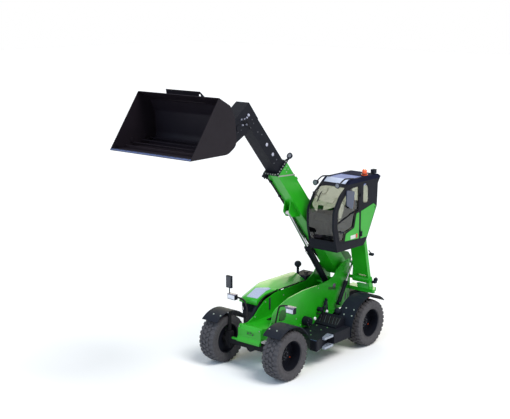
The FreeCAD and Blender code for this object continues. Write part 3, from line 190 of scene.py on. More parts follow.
# display colour, roughness, coat, and where they are not painted's own: scale of the orange peel, specular
PAINTS = {
    "cast_paint": ((26, 26, 29), 0.7, 0.0, 60.0, 0.15),
    # near-black for the cab's lining and dashboard: painted shade of the cab's interior
    "cab_shade_lining": ((9, 9, 8), 0.8, 0.0, 300.0, 0.05),
    # pale and bluish glass colours: painted reflection of the sky on the roof's glass
    "roof_glass_painted_reflection": ((196, 202, 222), 0.4, 0.0, 220.0, 0.1),
    "skylight_painted_reflection": ((112, 124, 172), 0.5, 0.0, 220.0, 0.05),
    # a navy copy of the black paint for the roof: painted reflection of the sky
    "roof_navy_painted_reflection": ((28, 31, 50), 0.75, 0.0, 220.0, 0.02),
    "lamp_shell": ((112, 104, 128), 0.38, 0.2),
    "zinc_bolt": ((150, 160, 150), 0.35, 0.0, 60.0),
    "number_plate": ((205, 208, 205), 0.5, 0.1),
    "reflector_red": ((205, 24, 30), 0.25, 0.6),
    "belt_red": ((170, 26, 30), 0.7, 0.0, 500.0),
    "lens_white": ((244, 242, 250), 0.15, 0.3, 90.0),
    "lamp_glass": ((112, 116, 126), 0.15, 0.3, 90.0),
    "mirror_face": ((56, 64, 86), 0.2, 0.2),
    "mirror_dark": ((44, 48, 58), 0.2, 0.2),
    # bluish light steel: painted highlight of the sky on forward-facing edges
    "edge_painted_highlight": ((88, 104, 150), 0.3, 0.2, 80.0),
    "step_steel": ((150, 158, 172), 0.34, 0.0, 120.0),
    "strap_grey": ((150, 158, 146), 0.4, 0.1),
    "lens_steel": ((176, 178, 196), 0.28, 0.2, 80.0),
    "rib_grey": ((56, 63, 64), 0.5, 0.0, 100.0, 0.3),
    "zinc_dark": ((72, 74, 82), 0.38, 0.0, 60.0),
    "zinc_green": ((96, 140, 92), 0.4, 0.0, 60.0),
    "purple_dark": ((48, 32, 58), 0.45, 0.1, 80.0),
    "seal_rubber": ((20, 17, 22), 0.6, 0.0, 300.0, 0.25),
    # darker green: painted shade, for the boom's heel under the cab and for recesses in the frame
    "painted_shade_green": ((30, 86, 28), 0.6, 0.0, 60.0),
    "purple_pin": ((104, 76, 108), 0.3, 0.2, 80.0),
}


def make_materials():
    tone = colours()
    painted("green_paint", tone.green, 0.36, 0.3, specular=0.35)
    painted("black_paint", tone.black, 0.55, 0.0, specular=0.14)
    painted("bucket_paint", tone.bucket, 0.5, 0.0, specular=0.16)
    for name, (colour, *values) in PAINTS.items():
        painted(name, linear(*colour), *values)
    painted("black_plastic", tone.plastic, 0.6, 0.0, 500.0, specular=0.14)

    tree, shader = shader_material("tyre_rubber", tone.rubber, 0.82)
    vary_colour(tree, shader, noise(tree, 14.0, 6.0), tone.rubber, 0.72, 1.12, 0.3, 0.72)
    add_bump(tree, shader, noise(tree, 160.0, 6.0), 0.35, 0.002)

    tree, shader = shader_material("chrome_rod", (0.55, 0.52, 0.56), 0.14, metallic=1.0)
    vary_roughness(tree, shader, noise(tree, 60.0), 0.1, 0.22)
    tree, shader = shader_material("bare_steel", (0.42, 0.43, 0.46), 0.42, metallic=0.9)
    vary_colour(tree, shader, noise(tree, 30.0), (0.42, 0.43, 0.46), 0.8, 1.15)
    add_bump(tree, shader, noise(tree, 200.0), 0.15, 0.001)

    tree, shader = shader_material("clear_glass", tone.glass, 0.02, specular=0.06)
    shader.inputs["Transmission Weight"].default_value = 1.0
    vary_colour(tree, shader, noise(tree, 1.5), tone.glass, 0.96, 1.04)
    vary_roughness(tree, shader, noise(tree, 3.0), 0.0, 0.02)

    painted("beacon_orange", tone.beacon, 0.18, 0.6)

    tree, shader = shader_material("vent_mesh", linear(150, 164, 196), 0.4, coat=0.2)
    coordinates = tree.nodes.new("ShaderNodeTexCoord")
    brick = tree.nodes.new("ShaderNodeTexBrick")
    set_inputs(brick, {"Scale": 40.0, "Mortar Size": 0.012, "Color1": (*linear(152, 166, 198), 1),
                       "Color2": (*linear(160, 174, 205), 1), "Mortar": (*linear(112, 122, 156), 1)})
    tree.links.new(coordinates.outputs["Object"], brick.inputs["Vector"])
    tree.links.new(brick.outputs["Color"], shader.inputs["Base Color"])

    tree, shader = shader_material("seat_cloth", linear(38, 38, 42), 0.9)
    vary_colour(tree, shader, noise(tree, 240.0, 3.0), linear(38, 38, 42), 0.7, 1.3)
    add_bump(tree, shader, noise(tree, 420.0, 3.0), 0.5, 0.002)


FINISH_OF_SLOT = {
    "green_paint": "green_paint", "green_plastic": "green_paint", "dark_paint": "black_paint",
    "bucket_paint": "bucket_paint", "black_plastic": "black_plastic", "tyre_rubber": "tyre_rubber",
    "rod_chrome": "chrome_rod", "bare_steel": "bare_steel", "clear_glass": "clear_glass",
    "seat_cloth": "seat_cloth", "cast_grey": "cast_paint",
}

# pairs of material slot and finish that many pieces share
BLACK = "dark_paint", "black_paint"
BOLTS = "bare_steel", "zinc_bolt"
DARK_BOLTS = "bare_steel", "zinc_dark"
GREEN = "green_paint", "green_paint"
PLASTIC = "black_plastic", "black_plastic"
PURPLE = "dark_paint", "purple_dark"
RUBBER = "dark_paint", "seal_rubber"
SEAL = "black_plastic", "seal_rubber"

FINISH_OF_NODE = {"cab_mirror": "mirror_face", "steps": "step_steel", "cab_roof": "roof_navy_painted_reflection"}
MADE_APART = {"front_left_tyre", "front_right_tyre", "rear_left_tyre", "rear_right_tyre", "seat", "cab_lights",
              "boom_outer", "cab_glass"}


# ------------------------------------------------------------------ mesh helpers
def add_piece(name, mesh, body, skin, edge_angle=35):
    """Links a mesh as a piece that rides on a body, with the finish of a skin (slot and finish; the slot is not used)
    and smooth shading.
    """
    slot, finish = skin
    mesh.materials.clear()
    mesh.materials.append(MATERIALS[finish])
    for polygon in mesh.polygons:
        polygon.use_smooth = True
        polygon.material_index = 0
    mesh.set_sharp_from_angle(angle=math.radians(edge_angle))
    piece = bpy.data.objects.new(name, mesh)
    bpy.context.scene.collection.objects.link(piece)
    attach(piece, body)
    return piece


def mesh_from(bm, name):
    bmesh.ops.recalc_face_normals(bm, faces=bm.faces)
    mesh = bpy.data.meshes.new(name)
    bm.to_mesh(mesh)
    bm.free()
    return mesh


def even_normals(piece):
    """Keeps broad faces flat beside rounded edges."""
    modifier = piece.modifiers.new("even normals", "WEIGHTED_NORMAL")
    modifier.keep_sharp = True


def copy_of(node):
    """A CAD node's mesh as a bmesh with its corners joined."""
    bm = bmesh.new()
    bm.from_mesh(frame["nodes"][node].data)
    bmesh.ops.remove_doubles(bm, verts=bm.verts, dist=WELD_GAP)
    return bm


def join_flat(bm):
    """Makes one face of those that lie in one plane."""
    bmesh.ops.dissolve_limit(bm, angle_limit=FLAT, verts=bm.verts[:], edges=bm.edges[:])


def cut_by(bm, point, outward):
    """Takes away what lies beyond a plane; returns what the plane cut."""
    return bmesh.ops.bisect_plane(bm, geom=bm.verts[:] + bm.edges[:] + bm.faces[:], plane_co=point, plane_no=outward,
                                  clear_outer=True, dist=CUT_GAP)["geom_cut"]


def softened(node, finish=None, flowing=False):
    """A copy of a CAD node with rounded edges stands for the node; flowing shades its facets as one curve."""
    bm = copy_of(node)
    join_flat(bm)
    round_edges(bm, sizes().soft_edge)
    mesh = bpy.data.meshes.new(node + "_finish")
    bm.to_mesh(mesh)
    bm.free()
    slot = SLOT_OF[node]
    skin = slot, finish or FINISH_OF_SLOT[slot]
    piece = add_piece(node + "_finish", mesh, BODY_OF[node], skin, 50 if flowing else 35)
    if not flowing:
        even_normals(piece)
    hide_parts(node)
    return piece


def at(x, y, z):
    """Row-frame point in metres, of a place in millimetres measured from under the front axle."""
    return Vector((x / 1000 + FRONT_AXLE_X, y / 1000, z / 1000))


def aimed(place, direction):
    """Transform that carries +Z at the origin to a direction at a place."""
    return Matrix.Translation(place) @ Vector(direction).to_track_quat("Z", "Y").to_matrix().to_4x4()


def block(bm, low, high, turn=None):
    """A block between two opposite corners, turned about its middle; returns its corners."""
    middle = (low + high) / 2
    size = Matrix.Diagonal((*(high - low), 1))
    matrix = Matrix.Translation(middle) @ (turn or Matrix.Identity(4)) @ size
    return bmesh.ops.create_cube(bm, size=1.0, matrix=matrix)["verts"]


def slab(bm, start, end, width, thickness, across=LEFT):
    """A straight flat bar from start to end, with its width across."""
    along = (end - start).normalized()
    side = (across - along * across.dot(along)).normalized()
    normal = along.cross(side)
    matrix = Matrix.Translation((start + end) / 2) @ Matrix((along, side, normal)).transposed().to_4x4()
    size = Matrix.Diagonal(((end - start).length, width, thickness, 1))
    return bmesh.ops.create_cube(bm, size=1.0, matrix=matrix @ size)["verts"]


def rod(bm, start, end, radius, far_radius=None, sides=24):
    """A capped round bar or cone from start to end."""
    axis = end - start
    matrix = aimed((start + end) / 2, axis)
    far = radius if far_radius is None else far_radius
    return bmesh.ops.create_cone(bm, cap_ends=True, segments=sides, radius1=radius, radius2=far,
                                 depth=axis.length, matrix=matrix)["verts"]


def bolt(bm, place, direction, across):
    """A hexagon head on a washer."""
    out = Vector(direction).normalized()
    rod(bm, place - out * 0.001, place + out * across * 0.13, across * 0.8, sides=16)
    rod(bm, place + out * across * 0.1, place + out * across * 0.6, across * 0.58, across * 0.52, sides=6)


def ball(bm, centre, radius, sides=20):
    bmesh.ops.create_uvsphere(bm, u_segments=sides, v_segments=sides // 2, radius=radius,
                              matrix=Matrix.Translation(centre))


def round_edges(bm, width, segments=2):
    """Bevels every sharp edge."""
    edges = [edge for edge in bm.edges if len(edge.link_faces) == 2 and edge.calc_face_angle(0) > SHARP]
    if edges:
        bmesh.ops.bevel(bm, geom=edges, offset=width, offset_type="OFFSET", segments=segments, profile=0.5,
                        affect="EDGES", clamp_overlap=True, material=-1, loop_slide=True)


def finished(bm, name, body, skin, width=0, edge_angle=35):
    """Rounds a bmesh's edges by a width and makes it a piece."""
    if width:
        round_edges(bm, width)
    return add_piece(name, mesh_from(bm, name), body, skin, edge_angle)


def placed(value):
    """A tuple is a place in millimetres and becomes a row-frame point; anything else stays as it is."""
    return at(*value) if isinstance(value, tuple) else value


def made(name, body, skin, width, *shapes):
    """A piece from shapes, each given as a function and what it takes after the bmesh."""
    bm = bmesh.new()
    for shape, *values in shapes:
        shape(bm, *[placed(value) for value in values])
    return finished(bm, name, body, skin, width)


def tilted(degrees):
    """Turn about the left-to-right axis."""
    return Matrix.Rotation(math.radians(degrees), 4, "Y")


def ring(count, radius, shift=0.0, axis="Y"):
    """Offsets of places spread evenly round an axis."""
    return [Matrix.Rotation((number + shift) * 2 * math.pi / count, 3, axis) @ Vector((radius, 0, 0))
            for number in range(count)]


def spun(bm, profile, centre, axis, steps):
    """A closed profile of (along the axis, radius) pairs, spun about an axis through a centre."""
    axis = Vector(axis)
    square = axis.cross(UP).normalized() if abs(axis.z) < 0.9 else FORWARD
    corners_made = [bm.verts.new(centre + axis * along + square * radius) for along, radius in profile]
    loop = [bm.edges.new((corners_made[i - 1], corners_made[i])) for i in range(len(corners_made))]
    bmesh.ops.spin(bm, geom=corners_made + loop, cent=centre, axis=axis, angle=2 * math.pi, steps=steps,
                   use_merge=True, use_duplicate=False)


def bent_pipe(name, body, diameter, points, skin=RUBBER, resolution=6):
    """A clamped pipe or seal on a smooth line through control points, as a mesh."""
    curve = bpy.data.curves.new(name, "CURVE")
    curve.dimensions = "3D"
    curve.bevel_depth = diameter / 2
    curve.bevel_resolution = 3
    curve.use_fill_caps = True
    curve.resolution_u = resolution
    spline = curve.splines.new("NURBS")
    spline.points.add(len(points) - 1)
    for control, point in zip(spline.points, points):
        control.co = (*placed(point), 1)
    spline.order_u = 3
    spline.use_endpoint_u = True
    holder = bpy.data.objects.new(name + "_line", curve)
    mesh = bpy.data.meshes.new_from_object(holder)
    bpy.data.objects.remove(holder)
    bpy.data.curves.remove(curve)
    mesh.name = name
    return add_piece(name, mesh, body, skin, 60)


# ------------------------------------------------------------------ operators
CAMERA_PLACE = (19.221, 16.070, 9.313)
CAMERA_HEADING = math.radians(220.3845)
CAMERA_DROP = math.radians(11.9083)
CAMERA_LENS = 73.38
FLOOR_REACH = 120.0
# direction, strength, spread in degrees, colour
STAGE_LAMPS = {"key": ((0.05, 0.8, 1.3), 2.3, 30, (1, 0.99, 0.95)),
               "fill": ((1.3, -0.1, 0.7), 1.1, 50, (0.42, 0.7, 1)),
               "back": ((-0.78, -0.62, 0.36), 0.75, 40, (1, 0.95, 0.6))}


class HANDLER_OT_stage(bpy.types.Operator):
    """Camera, floor, lamps and background"""
    bl_idname = "handler.stage"
    bl_label = "Stage"

    def execute(self, context):
        scene = context.scene
        scene.view_settings.view_transform = "Standard"
        camera_data = bpy.data.cameras.new("camera")
        camera_data.lens = CAMERA_LENS
        camera_data.sensor_width = 36.0
        camera = bpy.data.objects.new("camera", camera_data)
        scene.collection.objects.link(camera)
        camera.location = CAMERA_PLACE
        level = math.cos(CAMERA_DROP)
        aim = Vector((math.cos(CAMERA_HEADING) * level, math.sin(CAMERA_HEADING) * level, -math.sin(CAMERA_DROP)))
        camera.rotation_euler = aim.to_track_quat("-Z", "Y").to_euler()
        scene.camera = camera

        bm = bmesh.new()
        bmesh.ops.create_grid(bm, x_segments=1, y_segments=1, size=FLOOR_REACH)
        bmesh.ops.translate(bm, verts=bm.verts, vec=(0, 0, CAD_BOX[0][2]))
        mesh = mesh_from(bm, "floor")
        floor = bpy.data.objects.new("floor", mesh)
        scene.collection.objects.link(floor)
        shader_material("floor_white", (0.92, 0.92, 0.93), 0.9, specular=0.0)
        mesh.materials.append(MATERIALS["floor_white"])

        world = bpy.data.worlds.new("studio")
        scene.world = world
        world.use_nodes = True
        tree = world.node_tree
        background = tree.nodes["Background"]
        set_inputs(background, {"Color": (0.94, 0.95, 1.0, 1), "Strength": 0.5})
        plain = tree.nodes.new("ShaderNodeBackground")
        set_inputs(plain, {"Color": (1, 1, 1, 1), "Strength": 1.0})
        path = tree.nodes.new("ShaderNodeLightPath")
        seen = path.outputs["Is Camera Ray"]
        for ray in ("Is Glossy Ray", "Is Transmission Ray"):
            either = tree.nodes.new("ShaderNodeMath")
            either.operation = "MAXIMUM"
            tree.links.new(seen, either.inputs[0])
            tree.links.new(path.outputs[ray], either.inputs[1])
            seen = either.outputs["Value"]
        mix = tree.nodes.new("ShaderNodeMixShader")
        tree.links.new(seen, mix.inputs["Fac"])
        tree.links.new(background.outputs["Background"], mix.inputs[1])
        tree.links.new(plain.outputs["Background"], mix.inputs[2])
        tree.links.new(mix.outputs["Shader"], tree.nodes["World Output"].inputs["Surface"])

        for name, (direction, strength, spread, colour) in STAGE_LAMPS.items():
            lamp_data = bpy.data.lights.new(name, "SUN")
            lamp_data.energy = strength
            lamp_data.color = colour
            lamp_data.angle = math.radians(spread)
            lamp = bpy.data.objects.new(name, lamp_data)
            lamp.rotation_euler = Vector(direction).to_track_quat("Z", "Y").to_euler()
            lamp.location = Vector(direction) * 10
            scene.collection.objects.link(lamp)
        return {"FINISHED"}


class HANDLER_OT_plates(bpy.types.Operator):
    """Rounded edges and paint on every plate, casting and panel"""
    bl_idname = "handler.plates"
    bl_label = "Plates and panels"

    def execute(self, context):
        for node in frame["nodes"]:
            if node in MADE_APART:
                continue
            if SLOT_OF[node] == "clear_glass" and node not in FINISH_OF_NODE:
                frame["nodes"][node].data.materials.clear()
                frame["nodes"][node].data.materials.append(MATERIALS["clear_glass"])
            else:
                softened(node, FINISH_OF_NODE.get(node), flowing=node == "hood")
        return {"FINISHED"}


REAR_AXLE_X = -2.976
WHEELS = {"front_left": (FRONT_AXLE_X, 1), "front_right": (FRONT_AXLE_X, -1),
          "rear_left": (REAR_AXLE_X, 1), "rear_right": (REAR_AXLE_X, -1)}
WHEEL_MIDDLE = 1.031
WHEEL_HEIGHT = 0.63
TREAD_REACH = 0.6285       # from the axle to the top of a block
SPIN_GAP = 0.00005         # corners of a spun tyre closer than this are one
# outline of a tyre's side, as distances from its middle plane and from the axle
TYRE_SIDE = [(0.198, 0.378), (0.226, 0.388), (0.229, 0.412), (0.222, 0.418), (0.233, 0.45), (0.239, 0.5),
             (0.2395, 0.53), (0.2345, 0.536), (0.238, 0.542), (0.234, 0.562), (0.216, 0.588)]
# rows of tread blocks: from, to, shift in steps round the tyre
TREAD_ROWS = ((0.006, 0.098, 0.0), (-0.098, -0.006, 0.5), (0.112, 0.236, 0.5), (-0.236, -0.112, 0.0))
CROWN_FILL = 0.74          # share of a step that a block takes up
SHOULDER_FILL = 0.66
BLOCK_LEAN = 0.34          # how far a block runs askew for each metre across
SHOULDER_DROP = 0.03
BLOCK_FOOT = 0.012         # how deep a block stands in the tyre


class HANDLER_OT_tyres(bpy.types.Operator):
    """Tyres with ribbed sides and staggered tread blocks"""
    bl_idname = "handler.tyres"
    bl_label = "Tyres"

    def execute(self, context):
        depth = sizes().tread_depth
        blocks = sizes().tread_blocks
        reach = TREAD_REACH
        side = TYRE_SIDE + [(0.17, reach - depth)]
        profile = side + [(0.0, reach - depth + 0.003)] + [(-along, radius) for along, radius in reversed(side)]
        for name, (x, sign) in WHEELS.items():
            centre = Vector((x, sign * WHEEL_MIDDLE, WHEEL_HEIGHT))
            bm = bmesh.new()
            spun(bm, profile, centre, LEFT, 96)
            bmesh.ops.remove_doubles(bm, verts=bm.verts, dist=SPIN_GAP)
            bmesh.ops.recalc_face_normals(bm, faces=bm.faces)
            tread = bmesh.new()
            pitch = 2 * math.pi / blocks
            for start, end, shift in TREAD_ROWS:
                shoulder = max(abs(start), abs(end)) > 0.2
                for number in range(blocks):
                    length = (SHOULDER_FILL if shoulder else CROWN_FILL) * pitch * reach
                    verts = block(tread, Vector((-length / 2, start, reach - depth - BLOCK_FOOT)),
                                  Vector((length / 2, end, reach)))
                    for corner in verts:
                        outer = corner.co.z > reach - 0.001
                        lean = corner.co.y * (BLOCK_LEAN if sign * start > 0 else -BLOCK_LEAN)
                        corner.co.x = corner.co.x * (0.84 if outer else 1.0) + lean * (0.5 if shoulder else 1.0)
                        if abs(corner.co.y) > 0.2:
                            corner.co.z -= SHOULDER_DROP
                        corner.co.z -= corner.co.x ** 2 * 0.8
                    turn = Matrix.Rotation((number + shift) * pitch, 4, "Y")
                    bmesh.ops.transform(tread, matrix=Matrix.Translation(centre) @ turn, verts=verts)
            round_edges(tread, 0.004, 1)
            blocks_mesh = mesh_from(tread, name + "_tread_blocks")
            bm.from_mesh(blocks_mesh)
            bpy.data.meshes.remove(blocks_mesh)
            mesh = bpy.data.meshes.new(name + "_tread")
            bm.to_mesh(mesh)
            bm.free()
            piece = add_piece(name + "_tread", mesh, name + "_wheel", ("tyre_rubber", "tyre_rubber"), 32)
            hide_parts(name + "_tyre")
        return {"FINISHED"}


class HANDLER_OT_wheels(bpy.types.Operator):
    """Wheel nuts, hub covers, valves and rim tags"""
    bl_idname = "handler.wheels"
    bl_label = "Wheel details"

    def execute(self, context):
        for name, (x, sign) in WHEELS.items():
            out = Vector((0, sign, 0))
            centre = Vector((x, sign * WHEEL_MIDDLE, WHEEL_HEIGHT))
            face = centre - out * 0.06
            made(name + "_nuts", name + "_wheel", DARK_BOLTS, 0,
                 *[(bolt, face + offset, out, 0.034) for offset in ring(10, 0.165)],
                 *[(bolt, centre + out * 0.032 + offset, out, 0.018) for offset in ring(6, 0.078, 0.5)])
            made(name + "_hub_ring", name + "_wheel", BLACK, 0,
                 (spun, [(-0.061, 0.20), (-0.052, 0.203), (-0.048, 0.212), (-0.052, 0.221), (-0.061, 0.224)],
                  centre, out, 48),
                 (spun, [(0.034, 0.0305), (0.05, 0.03), (0.056, 0.026), (0.056, 0.002), (0.034, 0.002)], centre,
                  out, 24),
                 (rod, face + Vector((0.29, 0, 0.06)), face + Vector((0.275, 0, 0.055)) + out * 0.04, 0.008, None,
                  10))
            bm = bmesh.new()
            tag = Matrix.Translation(face + Vector((-0.262, 0, -0.15)) + out * 0.006)
            bmesh.ops.create_cone(bm, cap_ends=True, segments=16, radius1=0.017, radius2=0.014, depth=0.01,
                                  matrix=tag @ Matrix.Rotation(math.radians(90), 4, "X"))
            finished(bm, name + "_rim_tag", name + "_wheel", ("dark_paint", "beacon_orange"))
        return {"FINISHED"}


TOOL_FLOOR = (at(1972, 0, 6010), at(3432, 0, 5832))


class HANDLER_OT_bucket(bpy.types.Operator):
    """Wear strips, cutting edge, gussets and bolts of the bucket"""
    bl_idname = "handler.bucket"
    bl_label = "Bucket details"

    def execute(self, context):
        heel, lip = TOOL_FLOOR
        run = lip - heel
        inward = Vector((-run.z, 0, run.x)).normalized()
        bm = bmesh.new()
        for part in (0.16, 0.34, 0.52, 0.70):
            middle = heel + run * part + inward * 0.016
            slab(bm, middle - LEFT * 1.2, middle + LEFT * 1.2, 0.06, 0.012, run.normalized())
        for side in (-1, 1):
            for part in (0.25, 0.55, 0.85):
                foot = heel + run * part + inward * 0.03 + LEFT * side * 1.222
                slab(bm, foot, foot + inward * 0.1, 0.07, 0.01, run.normalized())
        finished(bm, "bucket_wear_strips", "tool", ("bucket_paint", "bucket_paint"), 0.003)

        # the cutting edge wears the bluish painted highlight
        start = heel + run * 0.945 + inward * 0.0185
        end = heel + run * 0.998 + inward * 0.0165
        middle = (start + end) / 2
        made("bucket_cutting_edge", "tool", ("bare_steel", "edge_painted_highlight"), 0.003,
             (slab, middle - LEFT * 1.235, middle + LEFT * 1.235, (end - start).length, 0.012, run.normalized()))

        made("bucket_edge_bolts", "tool", DARK_BOLTS, 0,
             *[(bolt, heel + run * 0.968 + inward * 0.0225 + LEFT * (number - 6) * 0.19, inward, 0.026)
              for number in range(13)])
        return {"FINISHED"}


BOOM_PIVOT = at(-3470, 0, 2000)
BOOM_ANGLE = math.radians(49.4)
BOOM_ALONG = Vector((math.cos(BOOM_ANGLE), 0, math.sin(BOOM_ANGLE)))
BOOM_UP = Vector((-math.sin(BOOM_ANGLE), 0, math.cos(BOOM_ANGLE)))
COLLAR_BACK = 3962         # millimetres along the boom
COLLAR_FRONT = 4000


def on_boom(along, y, above):
    """Row-frame point of a place on the boom: millimetres along it, to the left and above its middle line."""
    return BOOM_PIVOT + BOOM_ALONG * along / 1000 + LEFT * y / 1000 + BOOM_UP * above / 1000


def side_of(node, name, point, outward, skin):
    """The part of a CAD node behind a plane, closed where the plane cuts it, stands for the node."""
    bm = copy_of(node)
    join_flat(bm)
    rim = [edge for edge in cut_by(bm, point, outward) if isinstance(edge, bmesh.types.BMEdge)]
    bmesh.ops.triangle_fill(bm, edges=rim, use_beauty=True, use_dissolve=False)
    piece = finished(bm, name, BODY_OF[node], skin, 0.003)
    even_normals(piece)
    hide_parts(node)


class HANDLER_OT_boom(bpy.types.Operator):
    """Collar bolts, heel plates in painted shade, pipes that also make a shaded stripe, strap and work lamp of the
    outer boom
    """
    bl_idname = "handler.boom"
    bl_label = "Boom details"

    def execute(self, context):
        collar = on_boom(COLLAR_BACK, 0, 0)
        side_of("boom_outer", "boom_tube", collar, BOOM_ALONG, GREEN)
        side_of("boom_outer", "boom_collar", collar, -BOOM_ALONG, BLACK)
        # heel plates on the boom's sides, painted dark green as painted shade of the cab over them
        outline = [(-190, 180), (-260, 330), (-180, 470), (60, 470), (440, 216), (300, 160)]
        bm = bmesh.new()
        for y in (-204, 160):
            bm.faces.new([bm.verts.new(on_boom(along, y, above)) for along, above in outline])
        bmesh.ops.recalc_face_normals(bm, faces=bm.faces)
        heel = bmesh.ops.extrude_face_region(bm, geom=bm.faces[:])["geom"]
        heel_verts = [part for part in heel if isinstance(part, bmesh.types.BMVert)]
        bmesh.ops.translate(bm, vec=LEFT * 0.044, verts=heel_verts)
        finished(bm, "boom_heel_shade_plates", "boom", ("green_paint", "painted_shade_green"), 0.006)
        made("collar_bolts", "boom", BOLTS, 0,
             *[(bolt, on_boom(COLLAR_FRONT, y, above), BOOM_ALONG, 0.024) for above in (-205, -125, -45, 45, 125, 205)
              for y in (-220, 220)],
             *[(bolt, on_boom(COLLAR_FRONT, y, above), BOOM_ALONG, 0.024) for y in (-150, -75, 0, 75, 150)
              for above in (-243, 243)],
             *[(bolt, on_boom(along, side * 205, above), LEFT * side, 0.022) for side in (-1, 1)
              for along, above in ((3880, 150), (3880, 60), (3780, 150), (3780, 60))])

        bm = bmesh.new()
        turn = Matrix((BOOM_ALONG, LEFT, BOOM_UP)).transposed().to_4x4()

        def boom_block(low, high):
            """A block between two places on the boom."""
            middle = on_boom(*[(a + b) / 2 for a, b in zip(low, high)])
            size = Matrix.Diagonal((*[abs(b - a) / 1000 for a, b in zip(low, high)], 1))
            bmesh.ops.create_cube(bm, size=1.0, matrix=Matrix.Translation(middle) @ turn @ size)

        boom_block((3960, -226, -345), (4000, -120, -256))
        boom_block((3880, -200, -340), (3962, -188, -230))
        boom_block((3880, -135, -340), (3962, -123, -230))
        boom_block((3965, 150, 256), (3995, 226, 300))
        boom_block((3960, 185, 290), (3990, 225, 430))
        finished(bm, "collar_ears", "boom", BLACK, 0.004)

        lamp = on_boom(3985, 205, 412)
        made("boom_lamp", "boom", PLASTIC, 0.004,
             (rod, lamp - BOOM_ALONG * 0.03 + UP * 0.01, lamp + BOOM_ALONG * 0.035 - UP * 0.02, 0.07, 0.085),
             (rod, lamp - BOOM_ALONG * 0.075 + UP * 0.02, lamp - BOOM_ALONG * 0.03 + UP * 0.01, 0.04, 0.07),
             (slab, on_boom(3975, 205, 300), on_boom(3975, 205, 412), 0.05, 0.04))
        made("boom_lamp_lens", "boom", ("clear_glass", "lamp_glass"), 0.002,
             (rod, lamp + BOOM_ALONG * 0.034 - UP * 0.0195, lamp + BOOM_ALONG * 0.04 - UP * 0.022, 0.056, 0.05))

        start = on_boom(3925, 209, -222)
        end = on_boom(3500, 209, 222)
        made("boom_strap", "boom", ("bare_steel", "strap_grey"), 0.002,
             (slab, start, end, 0.034, 0.006, BOOM_ALONG), (rod, start, start + LEFT * 0.012, 0.02, None, 12),
             (rod, end, end + LEFT * 0.012, 0.02, None, 12))

        made("boom_lugs", "boom", GREEN, 0.004,
             (slab, on_boom(3290, 150, 236), on_boom(3290, 150, 300), 0.09, 0.02, BOOM_ALONG),
             (slab, on_boom(2450, 150, 236), on_boom(2450, 150, 276), 0.09, 0.02, BOOM_ALONG))

        # two dark pipes lie close together so they also make the dark stripe under the boom: real pipes, and painted
        # shade of its lower edge
        for number, y in enumerate((-162, -130)):
            line = ((3880, 44), (3800, 34), (3600, 20), (3250, 20), (2950, 24), (2700, 20), (1500, 18), (700, 18))
            bent_pipe("boom_pipe_%d" % (number + 1), "boom", sizes().pipe,
                      [on_boom(along, y, -234 - extra) for along, extra in line])
        bm = bmesh.new()
        for along in (3700, 3150, 2300, 1500, 900):
            boom_block((along - 20, -186, -275), (along + 20, -112, -226))
        finished(bm, "boom_pipe_clamps", "boom", ("dark_paint", "black_plastic"), 0.004)
        return {"FINISHED"}


class HANDLER_OT_head(bpy.types.Operator):
    """Quick couplers, screws and pipes of the inner boom and its head"""
    bl_idname = "handler.head"
    bl_label = "Boom head details"

    def execute(self, context):
        bm = bmesh.new()
        couplers = ((380, 6450, 38, 20), (523, 6369, 20, 30), (630, 6368, 20, 30), (452, 6234, 20, 30),
                    (595, 6235, 20, 30), (440, 6395, 24, 24))
        for x, z, radius, reach in couplers:
            rod(bm, at(x, 199, z), at(x, 200 + reach, z), radius / 1000, radius * 0.8 / 1000)
            rod(bm, at(x, 199 + reach, z), at(x, 206 + reach, z), radius * 0.45 / 1000, radius * 0.35 / 1000)
        for x, z in ((-327, 5670), (-556, 5404)):
            rod(bm, at(x, 179, z), at(x, 181.2, z), 0.044, 0.043)
        finished(bm, "head_couplers", "boom_extension", ("bare_steel", "lens_steel"), 0.0005)

        made("head_screws", "boom_extension", DARK_BOLTS, 0,
             *[(rod, (x, side * 179, z), (x, side * 181.2, z), 0.017, 0.016, 16) for x, z in ((10, 6010),
              (-138, 5935), (-700, 5260), (-600, 5180)) for side in (-1, 1)],
             *[(bolt, (x, side * 200, z), LEFT * side, 0.02) for x, z in ((199, 6233), (300, 6140), (250, 6330),
              (640, 6120), (760, 6080)) for side in (-1, 1)])

        for number, (x, z) in enumerate(((523, 6369), (630, 6368), (452, 6234))):
            bent_pipe("head_pipe_%d" % (number + 1), "boom_extension", 0.018,
                      [(x, 228, z), (x, 262, z), (x - 40, 266, z - 50), (x - 90, 240, z - 80), (x - 125, 214, z - 95),
                       (x - 150, 190, z - 110)])
        return {"FINISHED"}


FACES_UP = 0.25            # a face whose normal rises less is not part of the hood's top


